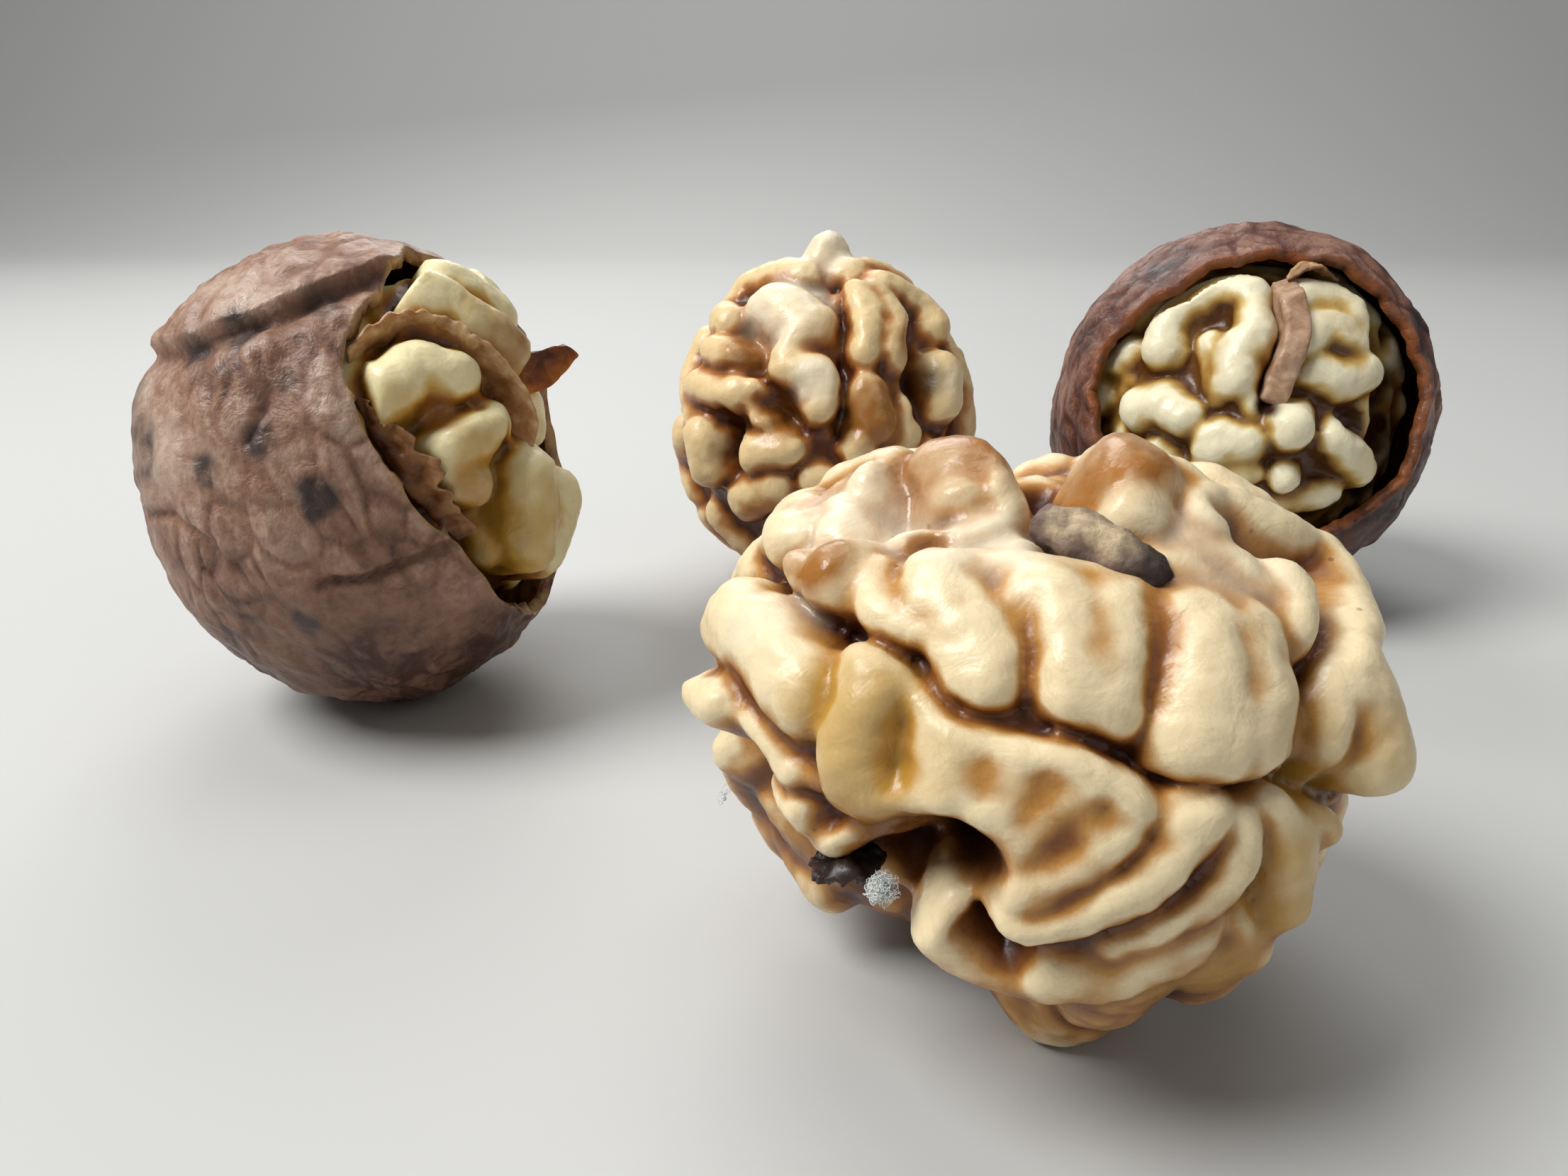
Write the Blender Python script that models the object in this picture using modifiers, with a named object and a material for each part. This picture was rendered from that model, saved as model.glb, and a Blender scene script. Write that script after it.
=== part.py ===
"""Four walnuts on a table: two bare kernels, and two kernels that sit in cracked shells.

Metres, +Z up. The nuts rest on z = 0, and the origin is at the middle of the group.
A kernel is made in one piece, as the seed grew: folds stand on an ellipsoid, and creases
and dents are pressed into it.
"""

import math
import random

import bmesh
import bpy
import numpy as np
from mathutils import Vector

MM = 0.001
GROUP = "walnut_kernels"

# Each nut follows an ellipsoid: its centre and its half sizes along X, Y and Z, in mm.
# On it, longitude 0 faces -Y and grows towards +X, and latitude 90 is the top.
NUTS = {
    "front": ((6.3, -32.4, 15.5), (18.7, 16.5, 15.5)),
    "back": ((-2.9, 33.0, 17.8), (16.2, 15.5, 17.8)),
    "left": ((-42.0, 4.9, 19.5), (17.3, 17.3, 19.5)),
    "right": ((40.6, 30.7, 19.3), (18.7, 18.7, 19.3)),
}
# How far the core under a kernel's folds lies below the nut's ellipsoid, in mm.
CORE_DEPTH = {"front": 2.4, "back": 2.3, "left": 4.2, "right": 3.7}
BLEND = 0.45  # mm over which two heights are rounded where they meet
STROKE_STEP = 0.8 * MM  # spacing of the points along a fold or crease
REACH = 3.2  # how far from its middle line a fold is worked out, in fold radii
SPHERE_STEPS = 7
VOXEL = 0.42 * MM
RING_STEP = 0.5  # spacing of the rings along a chip, in chip radii
SMOOTH_PASSES = 2
BASE_CUT = 0.2  # mm that a shell reaches below the table before it is cut flat
PIECE_GAP = 0.5 * MM  # growth of a piece before it is cut out of the kernel under it
SHELL_WALL = 1.2  # mm
SHELL_CLEARANCE = 2.1  # mm from a shell's ellipsoid down to the kernel inside it
SHELL_RINGS = 44
SHELL_SECTORS = 88
TRIANGLES = {
    "front_kernel": 5200,
    "back_kernel": 3600,
    "left_kernel": 2200,
    "right_kernel": 2200,
    "left_shell": 1900,
    "right_shell": 1700,
}

# A fold is (radius mm, lift mm, points): its crest stands lift above the ellipsoid.
# A crease or a dent is (depth mm, width mm, points). Points are (longitude, latitude).
FRONT_SEAM = (
    (-96, 36), (-84, 38), (-69, 39), (-53, 38), (-44, 37), (-34, 36), (-26, 32), (-19, 29), (-11, 27),
    (-5, 26), (0, 25), (5, 22), (11, 19), (17, 18), (24, 18), (32, 13), (42, 8), (56, 6),
)
FRONT_FOLDS = (
    # upper half: wide smooth top
    (3.6, 0.0, ((30, 60), (36, 50), (36, 42))),
    (2.8, 0.0, ((20, 54), (24, 45))),
    (3.0, -1.2, ((0, 58), (8, 66), (-10, 72))),
    (2.4, -1.2, ((-34, 55), (-20, 60))),
    (2.4, 0.2, ((-26, 51), (-6, 51), (8, 49))),
    (2.6, 0.5, ((-4, 43), (10, 42), (24, 40))),
    # upper half: lobes that hang over the seam, left to right
    (1.4, 0.7, ((-46, 46), (-40, 43), (-34, 40))),
    (2.6, 1.1, ((-30, 48), (-24, 42), (-19, 36))),
    (2.3, 1.2, ((-10, 47), (-7, 40), (-5, 34))),
    (1.8, 1.1, ((2, 45), (3, 37), (2, 32))),
    (2.8, 1.4, ((16, 40), (14, 32), (13, 27))),
    (2.1, 1.2, ((27, 38), (24, 30), (22, 25))),
    (2.0, 0.6, ((46, 46), (38, 38))),
    # upper half: outer ridge on the right
    (1.7, 0.7, ((62, 60), (72, 52), (78, 44))),
    (1.7, 0.9, ((80, 44), (70, 38), (60, 34), (48, 31))),
    (2.4, 1.2, ((47, 30), (49, 22), (48, 15))),
    (2.0, 0.3, ((40, 27), (37, 21))),
    (2.2, 0.0, ((92, 56), (94, 40), (84, 26))),
    # upper half: brown and cream lobes at the top, from right to left
    (2.9, 1.5, ((16, 77), (34, 77), (36, 73))),
    (2.6, 1.1, ((20, 72), (20, 67))),
    (1.4, 0.8, ((62, 70), (53, 65), (45, 61))),
    (2.6, 1.0, ((-85, 74), (-66, 76))),
    (2.2, 0.3, ((-58, 71), (-50, 70))),
    (1.4, 0.7, ((-50, 80), (-30, 73))),
    (2.2, 0.9, ((-112, 56), (-104, 64))),
    (1.2, 0.9, ((-88, 61),)),
    (2.2, 0.9, ((-106, 46), (-86, 46))),
    (1.6, 0.3, ((-84, 54), (-72, 52))),
    (1.6, 1.5, ((-55, 45),)),
    (0.8, 0.8, ((-68, 43), (-63, 43))),
    (1.1, -0.7, ((-52, 55), (-40, 60), (-30, 65))),
    (1.3, -0.7, ((-36, 54), (-24, 56), (-17, 59))),
    # lower half: the thumb, the yellow lobe and the edge under the seam
    (2.7, 1.4, ((-75, 30), (-60, 30), (-47, 25))),
    (2.3, 1.2, ((-35, 30), (-36, 23), (-35, 16))),
    (1.5, 0.7, ((-33, 13), (-27, 12))),
    (1.6, 0.8, ((-27, 30), (-16, 26), (-7, 23), (2, 19))),
    (1.6, 0.6, ((-23, 26), (-23, 18), (-25, 12))),
    (1.5, 0.5, ((-15, 23), (-15, 17), (-18, 12))),
    # lower half: curved folds that sweep down to the left
    (1.4, 0.6, ((-7, 20), (-10, 13), (-13, 8))),
    (1.3, 0.7, ((3, 16), (-2, 9), (-8, 3), (-13, 1))),
    (1.6, 0.8, ((11, 13), (5, 5), (-3, -1), (-10, -3))),
    (1.9, 0.7, ((18, 8), (11, -2), (4, -8))),
    (2.2, 0.3, ((25, 13), (28, 3), (29, -8))),
    (1.4, -0.3, ((34, 10), (37, 4))),
    (2.7, 0.5, ((12, -10), (3, -16), (-4, -19))),
    (2.4, 0.0, ((22, -12), (28, -22))),
    (1.6, -0.1, ((-22, -7), (-21, -16), (-14, -23), (-6, -26))),
    (1.0, -0.7, ((-16, -4), (-9, -8), (-4, -14))),
    # lower half: thin buds and ledges of the raised left side
    (1.2, 1.3, ((-76, 11), (-66, 15))),
    (0.9, 0.0, ((-60, 16), (-53, 14), (-48, 10))),
    (1.0, -0.6, ((-54, 8), (-46, 11), (-41, 12))),
    (1.3, 0.1, ((-54, 2), (-47, 2))),
    (0.9, -0.8, ((-50, -4), (-42, -2), (-37, 1))),
    (1.2, -1.2, ((-35, 4), (-31, 2), (-26, 0))),
    # underside
    (3.7, 0.0, ((8, -24), (10, -40), (16, -52))),
    (5.0, 1.4, ((10, -65), (32, -69))),
    (3.0, 0.9, ((150, -70), (200, -80))),
    (3.0, 0.0, ((19, -18), (30, -34), (44, -50))),
    (2.6, -1.8, ((52, 2), (46, -14), (56, -30))),
    (2.4, -2.6, ((72, 6), (74, -12), (78, -30))),
)
BACK_FOLDS = (
    (1.6, 2.2, ((0, 84), (10, 86))),
    (4.2, 0.3, ((-38, 54), (-24, 52), (-12, 46))),
    (2.0, 0.1, ((-12, 42), (-18, 33))),
    (2.5, 0.3, ((-16, 29), (-6, 26), (-2, 17))),
    (2.0, 0.4, ((-72, 44), (-60, 43))),
    (1.9, 0.2, ((-60, 31), (-42, 31))),
    (2.3, 0.4, ((-62, 18), (-38, 18))),
    (2.8, 0.9, ((-54, 2), (-52, -9))),
    (1.5, -0.3, ((-30, 20), (-25, 10))),
    (2.4, 0.1, ((-29, -2), (-16, 1))),
    (2.7, 0.0, ((-36, -21), (-20, -13))),
    (2.4, 0.3, ((20, 58), (24, 48), (17, 35))),
    (2.7, 0.1, ((16, 20), (20, 10))),
    (2.1, 0.0, ((13, 2), (16, -6))),
    (2.6, 0.5, ((50, 62), (74, 50), (72, 40))),
    (2.4, 0.2, ((36, 58), (38, 45), (32, 34))),
    (2.4, 0.6, ((59, 24), (55, 12))),
    (2.2, -0.3, ((36, 12), (30, 0))),
    (2.4, 0.2, ((78, 26), (82, 6), (74, -16))),
    (2.6, 0.0, ((-4, -10), (2, -30), (-6, -50))),
    (2.6, 0.0, ((18, -12), (26, -34), (24, -54))),
    (2.4, 0.0, ((44, -6), (50, -30), (44, -50))),
    (2.6, 0.3, ((-30, 74), (-80, 68), (-100, 56))),
    (2.6, 0.3, ((34, 74), (80, 70), (100, 58))),
    (2.4, -0.2, ((-66, -34), (-40, -54), (0, -66))),
    (3.2, 0.25, ((20, -76), (-20, -88), (160, -78))),
)
LEFT_FOLDS = (
    (2.9, 1.2, ((54, 54), (61, 50))),
    (2.5, 1.2, ((66, 45), (73, 40))),
    (1.8, 1.0, ((79, 36),)),
    (3.0, 0.8, ((78, 58), (94, 46))),
    (3.4, 0.0, ((29, 32), (40, 34), (50, 32))),
    (2.0, -0.4, ((25, 34), (25, 27))),
    (3.3, 0.0, ((45, 17), (56, 18))),
    (2.7, -0.6, ((43, 9), (49, 6))),
    (3.1, 0.8, ((64, 5), (64, -4), (62, -12))),
    (1.8, -0.8, ((55, -7), (57, -16))),
    (3.0, -1.6, ((92, 14), (104, 22), (108, 36))),
    (3.0, 0.4, ((96, -8), (82, -20))),
    (2.6, 0.6, ((104, 52), (112, 44))),
)
RIGHT_FOLDS = (
    (2.5, -0.9, ((-53, 29), (-55, 39), (-48, 48), (-35, 53), (-22, 51))),
    (2.6, -0.9, ((-20, 51), (-18, 38), (-23, 30), (-24, 22))),
    (2.0, -2.3, ((-34, 34), (-31, 26), (-28, 16))),
    (2.9, -0.8, ((-54, 8), (-45, 10), (-39, 8))),
    (2.9, -0.8, ((-27, 1), (-18, 1))),
    (2.2, -1.4, ((-28, -8), (-16, -8))),
    (1.5, -2.0, ((-20, 18), (-17, 12))),
    (2.7, -0.3, ((-4, 7),)),
    (1.9, -1.2, ((-3, -10),)),
    (2.9, -1.0, ((6, 52), (22, 49), (29, 42))),
    (2.8, -1.2, ((4, 35), (11, 39), (22, 35))),
    (2.6, -1.5, ((6, 24), (18, 22), (28, 25))),
    (2.2, -1.2, ((12, 3), (20, -3), (30, -10))),
    (2.2, -2.2, ((-46, -4), (-36, -14))),
    (2.2, -2.2, ((-16, -18), (2, -20), (18, -16))),
)
FRONT_CREASES = (
    (3.0, 1.6, FRONT_SEAM),
    (1.6, 0.6, FRONT_SEAM),
    (0.9, 1.5, ((-46, 34), (-42, 27), (-43, 18))),
    (2.2, 1.5, ((48, 60), (53, 51), (52, 43), (46, 36), (37, 31))),
    (1.6, 1.4, ((37, 31), (34, 23), (32, 15))),
    (0.7, 1.4, ((-14, 46), (-12, 38), (-11, 31))),
    (0.3, 1.0, ((-2, 44), (-2, 36), (-2, 30))),
    (0.9, 1.5, ((10, 42), (7, 34), (5, 26))),
    (0.3, 1.0, ((21, 34), (19, 28), (17, 22))),
    (0.7, 1.4, ((-29, 28), (-29, 22), (-28, 16))),
    (0.6, 1.1, ((-20, 22), (-19, 16), (-21, 11))),
    (0.6, 1.1, ((-11, 21), (-13, 15), (-15, 10))),
    (0.9, 1.2, ((-3, 18), (-6, 11), (-13, 5))),
    (1.1, 1.2, ((7, 15), (1, 7), (-5, 1), (-12, -1))),
    (1.1, 1.3, ((15, 11), (8, 1), (1, -5), (-7, -7))),
    (0.8, 1.3, ((20, -2), (12, -7), (2, -11))),
    (1.2, 1.6, ((21, 12), (23, 2), (24, -9))),
)
BACK_CREASES = (
    (2.6, 1.5, ((12, 66), (10, 47), (7, 25), (6, 6))),
    (1.2, 0.6, ((10, 47), (7, 25), (6, 6))),
)
LEFT_CREASES = (
    (1.5, 1.5, ((27, 23), (40, 22), (54, 25))),
    (1.6, 1.3, ((36, 10), (41, 0), (50, 0), (59, 9), (61, 18))),
    (0.5, 1.5, ((38, 40), (40, 30))),
)
RIGHT_CREASES = (
    (2.2, 1.6, ((-9, 50), (-8, 36), (-9, 24), (-12, 14))),
)
FRONT_DENTS = (
    (3.6, 3.0, ((-40, 86), (-8, 80), (-8, 72))),
    (1.2, 1.0, ((-43, 56),)),
    (4.0, 2.6, ((-19, 5),)),
    (4.0, 3.4, ((-22, 3), (-30, -5))),
    (2.2, 1.8, ((-16, -10), (-12, -15))),
    (3.0, 6.0, ((-94, 2), (-82, -6))),
    (5.0, 9.0, ((-66, -14), (-52, -32), (-34, -46))),
    (3.0, 7.0, ((84, -4), (86, -30))),
)
BACK_DENTS = (
    (1.8, 2.0, ((-24, 15), (-12, 10))),
    (2.2, 2.4, ((46, 37), (44, 24), (40, 12))),
    (2.2, 2.0, ((-41, 8), (-38, -8))),
    (1.2, 2.0, ((-40, 40), (-32, 30))),
)
RIGHT_DENTS = (
    (2.5, 5.0, ((44, 36), (46, 18), (46, 0), (40, -14))),
    (1.8, 2.6, ((20, 10), (26, 6))),
)
KERNELS = {
    "front": (FRONT_FOLDS, FRONT_CREASES, FRONT_DENTS),
    "back": (BACK_FOLDS, BACK_CREASES, BACK_DENTS),
    "left": (LEFT_FOLDS, LEFT_CREASES, ()),
    "right": (RIGHT_FOLDS, RIGHT_CREASES, RIGHT_DENTS),
}
# The hidden side's folds run down from the top in wavy rows: the first and last
# longitude, the number of rows, the highest and lowest latitude, the fold radius and lift,
# and the seed of the row's uneven lengths.
HIDDEN_ROWS = {
    "front": (104, 258, 9, 66, -62, 2.2, 0.2, 48),
    "back": (98, 272, 8, 68, -66, 2.6, 0.0, 49),
    "left": (118, 380, 9, 70, -70, 3.2, -2.3, 50),
    "right": (68, 290, 8, 66, -70, 3.4, -2.6, 49),
}
ROW_SWING = 9  # degrees that a hidden row waves to each side

# Where each shell is broken open: the middle of its mouth and the rim around it,
# as (longitude, latitude) in degrees.
MOUTHS = {
    "left": (
        (77, 18),
        ((54, 64), (29, 52), (19, 43), (17, 35), (20, 23), (24, 13), (32, 1), (40, -6),
         (48, -16), (69, -33), (92, -40), (112, -28), (124, -8), (129, 14), (127, 36),
         (118, 56), (84, 72)),
    ),
    "right": (
        (-14, 20),
        ((-53, 47), (-43, 56), (-20, 62), (8, 60), (33, 53), (43, 40), (47, 30), (48, 16),
         (45, 3), (38, -10), (24, -22), (0, -26), (-25, -24), (-46, -17), (-62, -6),
         (-70, 8), (-72, 22), (-64, 37)),
    ),
}
RIM_SHARE = 4  # degrees inside the rim over which the kernel is held back from the wall
# The raised suture of the left shell: its lower edge, in degrees, and its shape in mm.
SUTURE = ((-80, 30), (-42, 38), (-22, 43), (-8, 50), (10, 55), (40, 60), (90, 66))
SUTURE_WIDTH = 13
SUTURE_RAISE = 0.7
SUTURE_GROOVE = 0.5
WRINKLES = ((0.16, (5.1, 2.3, 6.7), 0.4), (0.12, (-7.3, 5.2, 4.1), 1.7), (0.1, (3.1, 9.4, -5.5), 2.9))

COLOURS = {
    "front_kernel": (0.72, 0.5, 0.25),
    "back_kernel": (0.62, 0.36, 0.15),
    "left_kernel": (0.74, 0.52, 0.2),
    "right_kernel": (0.74, 0.6, 0.36),
    "left_shell": (0.27, 0.15, 0.1),
    "right_shell": (0.22, 0.1, 0.06),
    "front_septum_fragment": (0.25, 0.17, 0.13),
    "front_shell_scrap": (0.06, 0.03, 0.02),
    "left_septum": (0.5, 0.28, 0.12),
    "left_shard": (0.45, 0.17, 0.03),
    "right_septum": (0.45, 0.29, 0.18),
    "right_skin_flake": (0.7, 0.55, 0.36),
}
ROUGHNESS = 0.45


def direction(lon, lat):
    """Return the unit vector of a place on a nut."""
    lon = math.radians(lon)
    lat = math.radians(lat)
    return Vector((math.sin(lon) * math.cos(lat), -math.cos(lon) * math.cos(lat), math.sin(lat)))


def place(nut, lon, lat, lift=0.0):
    """Return the point lift mm above the nut's ellipsoid, in metres."""
    centre, half = NUTS[nut]
    way = direction(lon, lat)
    return Vector([(c + (h + lift) * w) * MM for c, h, w in zip(centre, half, way)])


def curve_through(points, step):
    """Return points spaced about step apart on a smooth line through the given ones."""
    if len(points) == 1:
        return [points[0]]
    ends = [2 * points[0] - points[1]] + list(points) + [2 * points[-1] - points[-2]]
    line = []
    for a, b, c, d in zip(ends, ends[1:], ends[2:], ends[3:]):
        count = max(2, math.ceil((c - b).length / step))
        for k in range(count):
            t = k / count
            line.append(
                0.5 * (2 * b + (c - a) * t + (2 * a - 5 * b + 4 * c - d) * t * t
                       + (3 * b - a - 3 * c + d) * t ** 3)
            )
    return line + [points[-1]]


def hidden_folds(nut):
    """Return the folds of the side that faces away, in wavy rows from top to bottom."""
    first, last, rows, high, low, radius, lift, seed = HIDDEN_ROWS[nut]
    dice = random.Random(seed)
    folds = []
    for row in range(rows):
        lon = first + (last - first) * row / (rows - 1)
        lat = high - dice.uniform(0, 14)
        while lat > low + 12:
            length = dice.uniform(14, 34)
            turn = dice.uniform(-1, 1)
            path = []
            for k in range(3):
                swing = ROW_SWING * (math.sin(2.1 * row + k * 1.9 + lat * 0.05) + turn * k)
                path.append((lon + swing, max(low, lat - length * k / 2)))
            size = radius * dice.uniform(0.7, 1.1)
            folds.append((size, lift + dice.uniform(-0.5, 0.4), path))
            lat -= length + dice.uniform(9, 13)
    return folds


def stroke_of(nut, places):
    """Return a line through the given places, as points in mm from the nut's centre."""
    centre = Vector(NUTS[nut][0]) * MM
    line = curve_through([place(nut, lon, lat) for lon, lat in places], STROKE_STEP)
    return np.array([(point - centre) / MM for point in line])


def distances_near(line, points, reach):
    """Return which points may lie within reach of a line, and how far each of them is."""
    middle = (line.min(0) + line.max(0)) / 2
    span = np.linalg.norm(line - middle, axis=1).max() + reach
    near = np.flatnonzero(np.linalg.norm(points - middle, axis=1) < span)
    spots = points[near]
    best = np.linalg.norm(spots - line[0], axis=1)
    for a, b in zip(line, line[1:]):
        along = b - a
        share = np.clip((spots - a) @ along / (along @ along), 0, 1)
        best = np.minimum(best, np.linalg.norm(spots - a - share[:, None] * along, axis=1))
    return near, best


def fold_drop(x):
    """Return how far a fold of radius 1 falls at a distance from its middle line."""
    inner = np.minimum(x, 0.8)
    return 1 - np.sqrt(1 - inner * inner) + 1.6 * np.maximum(0, x - 0.8)


def higher(a, b):
    """Return the larger of two heights, rounded where they meet."""
    share = np.clip(0.5 + 0.5 * (a - b) / BLEND, 0, 1)
    return b * (1 - share) + a * share + BLEND * share * (1 - share)


def kernel_height(nut, ways):
    """Return a kernel's height above its ellipsoid in mm, along each direction."""
    folds, creases, dents = KERNELS[nut]
    surface = ways * np.array(NUTS[nut][1])
    height = np.full(len(ways), -CORE_DEPTH[nut])
    for radius, lift, places in hidden_folds(nut) + list(folds):
        near, away = distances_near(stroke_of(nut, places), surface, radius * REACH)
        height[near] = higher(lift - radius * fold_drop(away / radius), height[near])
    for depth, width, places in creases:
        near, away = distances_near(stroke_of(nut, places), surface, width)
        share = np.clip(1 - away / width, 0, 1)
        height[near] -= depth * (1 - np.sqrt(1 - share * share))
    for depth, width, places in dents:
        near, away = distances_near(stroke_of(nut, places), surface, width)
        share = np.clip(away / width, 0, 1)
        height[near] -= depth * (0.5 + 0.5 * np.cos(np.pi * share))
    return height


def mesh_of(thing):
    """Return a new mesh of the object as its modifiers leave it."""
    graph = bpy.context.evaluated_depsgraph_get()
    return bpy.data.meshes.new_from_object(thing.evaluated_get(graph))


def keep_largest_body(mesh):
    """Delete every loose part of a mesh but the one with the most faces."""
    shape = bmesh.new()
    shape.from_mesh(mesh)
    left = set(shape.verts)
    bodies = []
    while left:
        body = set()
        edge = [left.pop()]
        while edge:
            vert = edge.pop()
            body.add(vert)
            near = {e.other_vert(vert) for e in vert.link_edges} & left
            left -= near
            edge.extend(near)
        bodies.append(body)
    bodies.sort(key=len)
    for body in bodies[:-1]:
        bmesh.ops.delete(shape, geom=list(body), context="VERTS")
    shape.to_mesh(mesh)
    shape.free()


def new_object(name, data, collection):
    """Put a mesh or curve in the given collection under the given name."""
    thing = bpy.data.objects.new(name, data)
    collection.objects.link(thing)
    return thing


def paint(thing):
    """Give a piece its own material and smooth shading."""
    material = bpy.data.materials.new(thing.name)
    material.use_nodes = True
    shader = material.node_tree.nodes["Principled BSDF"]
    shader.inputs["Base Color"].default_value = (*COLOURS[thing.name], 1.0)
    shader.inputs["Roughness"].default_value = ROUGHNESS
    shader.inputs["Metallic"].default_value = 0.0
    thing.data.materials.clear()
    thing.data.materials.append(material)
    thing.data.shade_smooth()


def thin_to(thing, triangles):
    """Add a Decimate that leaves about the given number of triangles."""
    count = sum(len(face.vertices) - 2 for face in mesh_of(thing).polygons)
    thin = thing.modifiers.new("thin", "DECIMATE")
    thin.ratio = min(1.0, triangles / count)


def cut(thing, cutter):
    """Take the cutter's volume out of a piece."""
    boolean = thing.modifiers.new(cutter.name, "BOOLEAN")
    boolean.operation = "DIFFERENCE"
    boolean.solver = "EXACT"
    boolean.object = cutter


def as_cutter(thing):
    """Show an object as a wire guide that isn't part of the model."""
    thing.hide_render = True
    thing.display_type = "WIRE"
    return thing


def grown_cutter(piece, cutters):
    """Return a cutter a little larger than a piece, so that the two keep a gap."""
    cutter = as_cutter(new_object(piece.name + "_room", mesh_of(piece), cutters))
    grow = cutter.modifiers.new("grow", "DISPLACE")
    grow.strength = PIECE_GAP
    grow.mid_level = 0.0
    return cutter


def rim_of(nut):
    """Return the rim as (angle round the mouth's axis, angle from it), and the axes."""
    middle, rim = MOUTHS[nut]
    axis = direction(*middle)
    side = Vector((0, 0, 1)).cross(axis).normalized()
    up = axis.cross(side)
    turns = []
    for lon, lat in rim:
        way = direction(lon, lat)
        turns.append((math.atan2(way.dot(up), way.dot(side)), axis.angle(way)))
    return sorted(turns), axis, side, up


def rim_angle(turns, turn):
    """Return the angle from the mouth's axis to the rim, in the direction of turn."""
    before = [(t - math.tau, a) for t, a in turns[-1:]]
    after = [(t + math.tau, a) for t, a in turns[:1]]
    for (t0, a0), (t1, a1) in zip(before + turns, turns + after):
        if t0 <= turn <= t1:
            return a0 + (a1 - a0) * (turn - t0) / (t1 - t0)
    return turns[0][1]


def suture_latitude(lon):
    """Return the latitude of the left shell's suture at a longitude."""
    for (lon0, lat0), (lon1, lat1) in zip(SUTURE, SUTURE[1:]):
        if lon0 <= lon <= lon1:
            return lat0 + (lat1 - lat0) * (lon - lon0) / (lon1 - lon0)
    return None


def shell_relief(nut, way):
    """Return the height of a shell's surface above its ellipsoid, in mm."""
    height = sum(size * math.sin(way.dot(Vector(waves)) + turn) for size, waves, turn in WRINKLES)
    lon = math.degrees(math.atan2(way.x, -way.y))
    lat = math.degrees(math.asin(max(-1.0, min(1.0, way.z))))
    edge = suture_latitude(lon) if nut == "left" else None
    if edge is not None:
        above = (lat - edge) / SUTURE_WIDTH
        if 0 <= above <= 1:
            height += SUTURE_RAISE * math.sin(math.pi * above)
        elif -0.6 <= above < 0:
            height -= SUTURE_GROOVE * math.sin(math.pi * above / -0.6)
    return height + BASE_CUT * max(0.0, -way.z) ** 8


def make_shell(nut, parts, floor):
    """Make a cracked shell: a round wall that ends at the broken rim of its mouth."""
    turns, axis, side, up = rim_of(nut)
    shape = bmesh.new()
    bmesh.ops.create_uvsphere(
        shape, u_segments=SHELL_SECTORS, v_segments=SHELL_RINGS, radius=1.0
    )
    open_angle = math.pi / 6
    top = [vert for vert in shape.verts if Vector((0, 0, 1)).angle(vert.co) < open_angle]
    bmesh.ops.delete(shape, geom=top, context="VERTS")
    first = min(Vector((0, 0, 1)).angle(vert.co) for vert in shape.verts)
    for vert in shape.verts:
        turn = math.atan2(vert.co.y, vert.co.x)
        share = (Vector((0, 0, 1)).angle(vert.co) - first) / (math.pi - first)
        edge = rim_angle(turns, turn)
        angle = edge + (math.pi - edge) * share
        way = axis * math.cos(angle)
        way += (side * math.cos(turn) + up * math.sin(turn)) * math.sin(angle)
        centre, half = NUTS[nut]
        height = shell_relief(nut, way)
        vert.co = [(c + (h + height) * w) * MM for c, h, w in zip(centre, half, way)]
    mesh = bpy.data.meshes.new(nut + "_shell")
    shape.to_mesh(mesh)
    shape.free()
    shell = new_object(nut + "_shell", mesh, parts)
    wall = shell.modifiers.new("wall", "SOLIDIFY")
    wall.thickness = SHELL_WALL * MM
    wall.offset = -1.0
    thin_to(shell, TRIANGLES[shell.name])
    cut(shell, floor)
    paint(shell)


def hold_inside_shell(nut, mesh):
    """Move the points of a kernel that would touch its shell in to the wall's clearance."""
    turns, axis, side, up = rim_of(nut)
    centre, half = NUTS[nut]
    for vert in mesh.vertices:
        way = Vector([(v / MM - c) / h for v, c, h in zip(vert.co, centre, half)])
        reach = way.length
        way.normalize()
        turn = math.atan2(way.dot(up), way.dot(side))
        inside = math.degrees(rim_angle(turns, turn) - axis.angle(way))
        limit = 1.0 - SHELL_CLEARANCE / half[0] + max(0.0, inside - RIM_SHARE) / 20
        if reach > limit:
            vert.co = [(c + h * limit * w) * MM for c, h, w in zip(centre, half, way)]


def make_kernel(nut, parts, floor):
    """Make a kernel: a ball pushed out to its folds, made even, smoothed and thinned."""
    centre, half = (np.array(size) for size in NUTS[nut])
    shape = bmesh.new()
    bmesh.ops.create_icosphere(shape, subdivisions=SPHERE_STEPS, radius=1.0)
    ways = np.array([vert.co.normalized() for vert in shape.verts])
    points = (centre + (half + kernel_height(nut, ways)[:, None]) * ways) * MM
    for vert, point in zip(shape.verts, points.tolist()):
        vert.co = point
    mesh = bpy.data.meshes.new("rough")
    shape.to_mesh(mesh)
    shape.free()
    rough = new_object("rough", mesh, parts)
    even = rough.modifiers.new("even", "REMESH")
    even.mode = "VOXEL"
    even.voxel_size = VOXEL
    soften = rough.modifiers.new("soften", "SMOOTH")
    soften.factor = 0.5
    soften.iterations = SMOOTH_PASSES
    solid = mesh_of(rough)
    solid.name = nut + "_kernel"
    bpy.data.objects.remove(rough)
    keep_largest_body(solid)
    if nut in MOUTHS:
        hold_inside_shell(nut, solid)
    kernel = new_object(nut + "_kernel", solid, parts)
    thin_to(kernel, TRIANGLES[kernel.name])
    cut(kernel, floor)
    paint(kernel)
    return kernel


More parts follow.
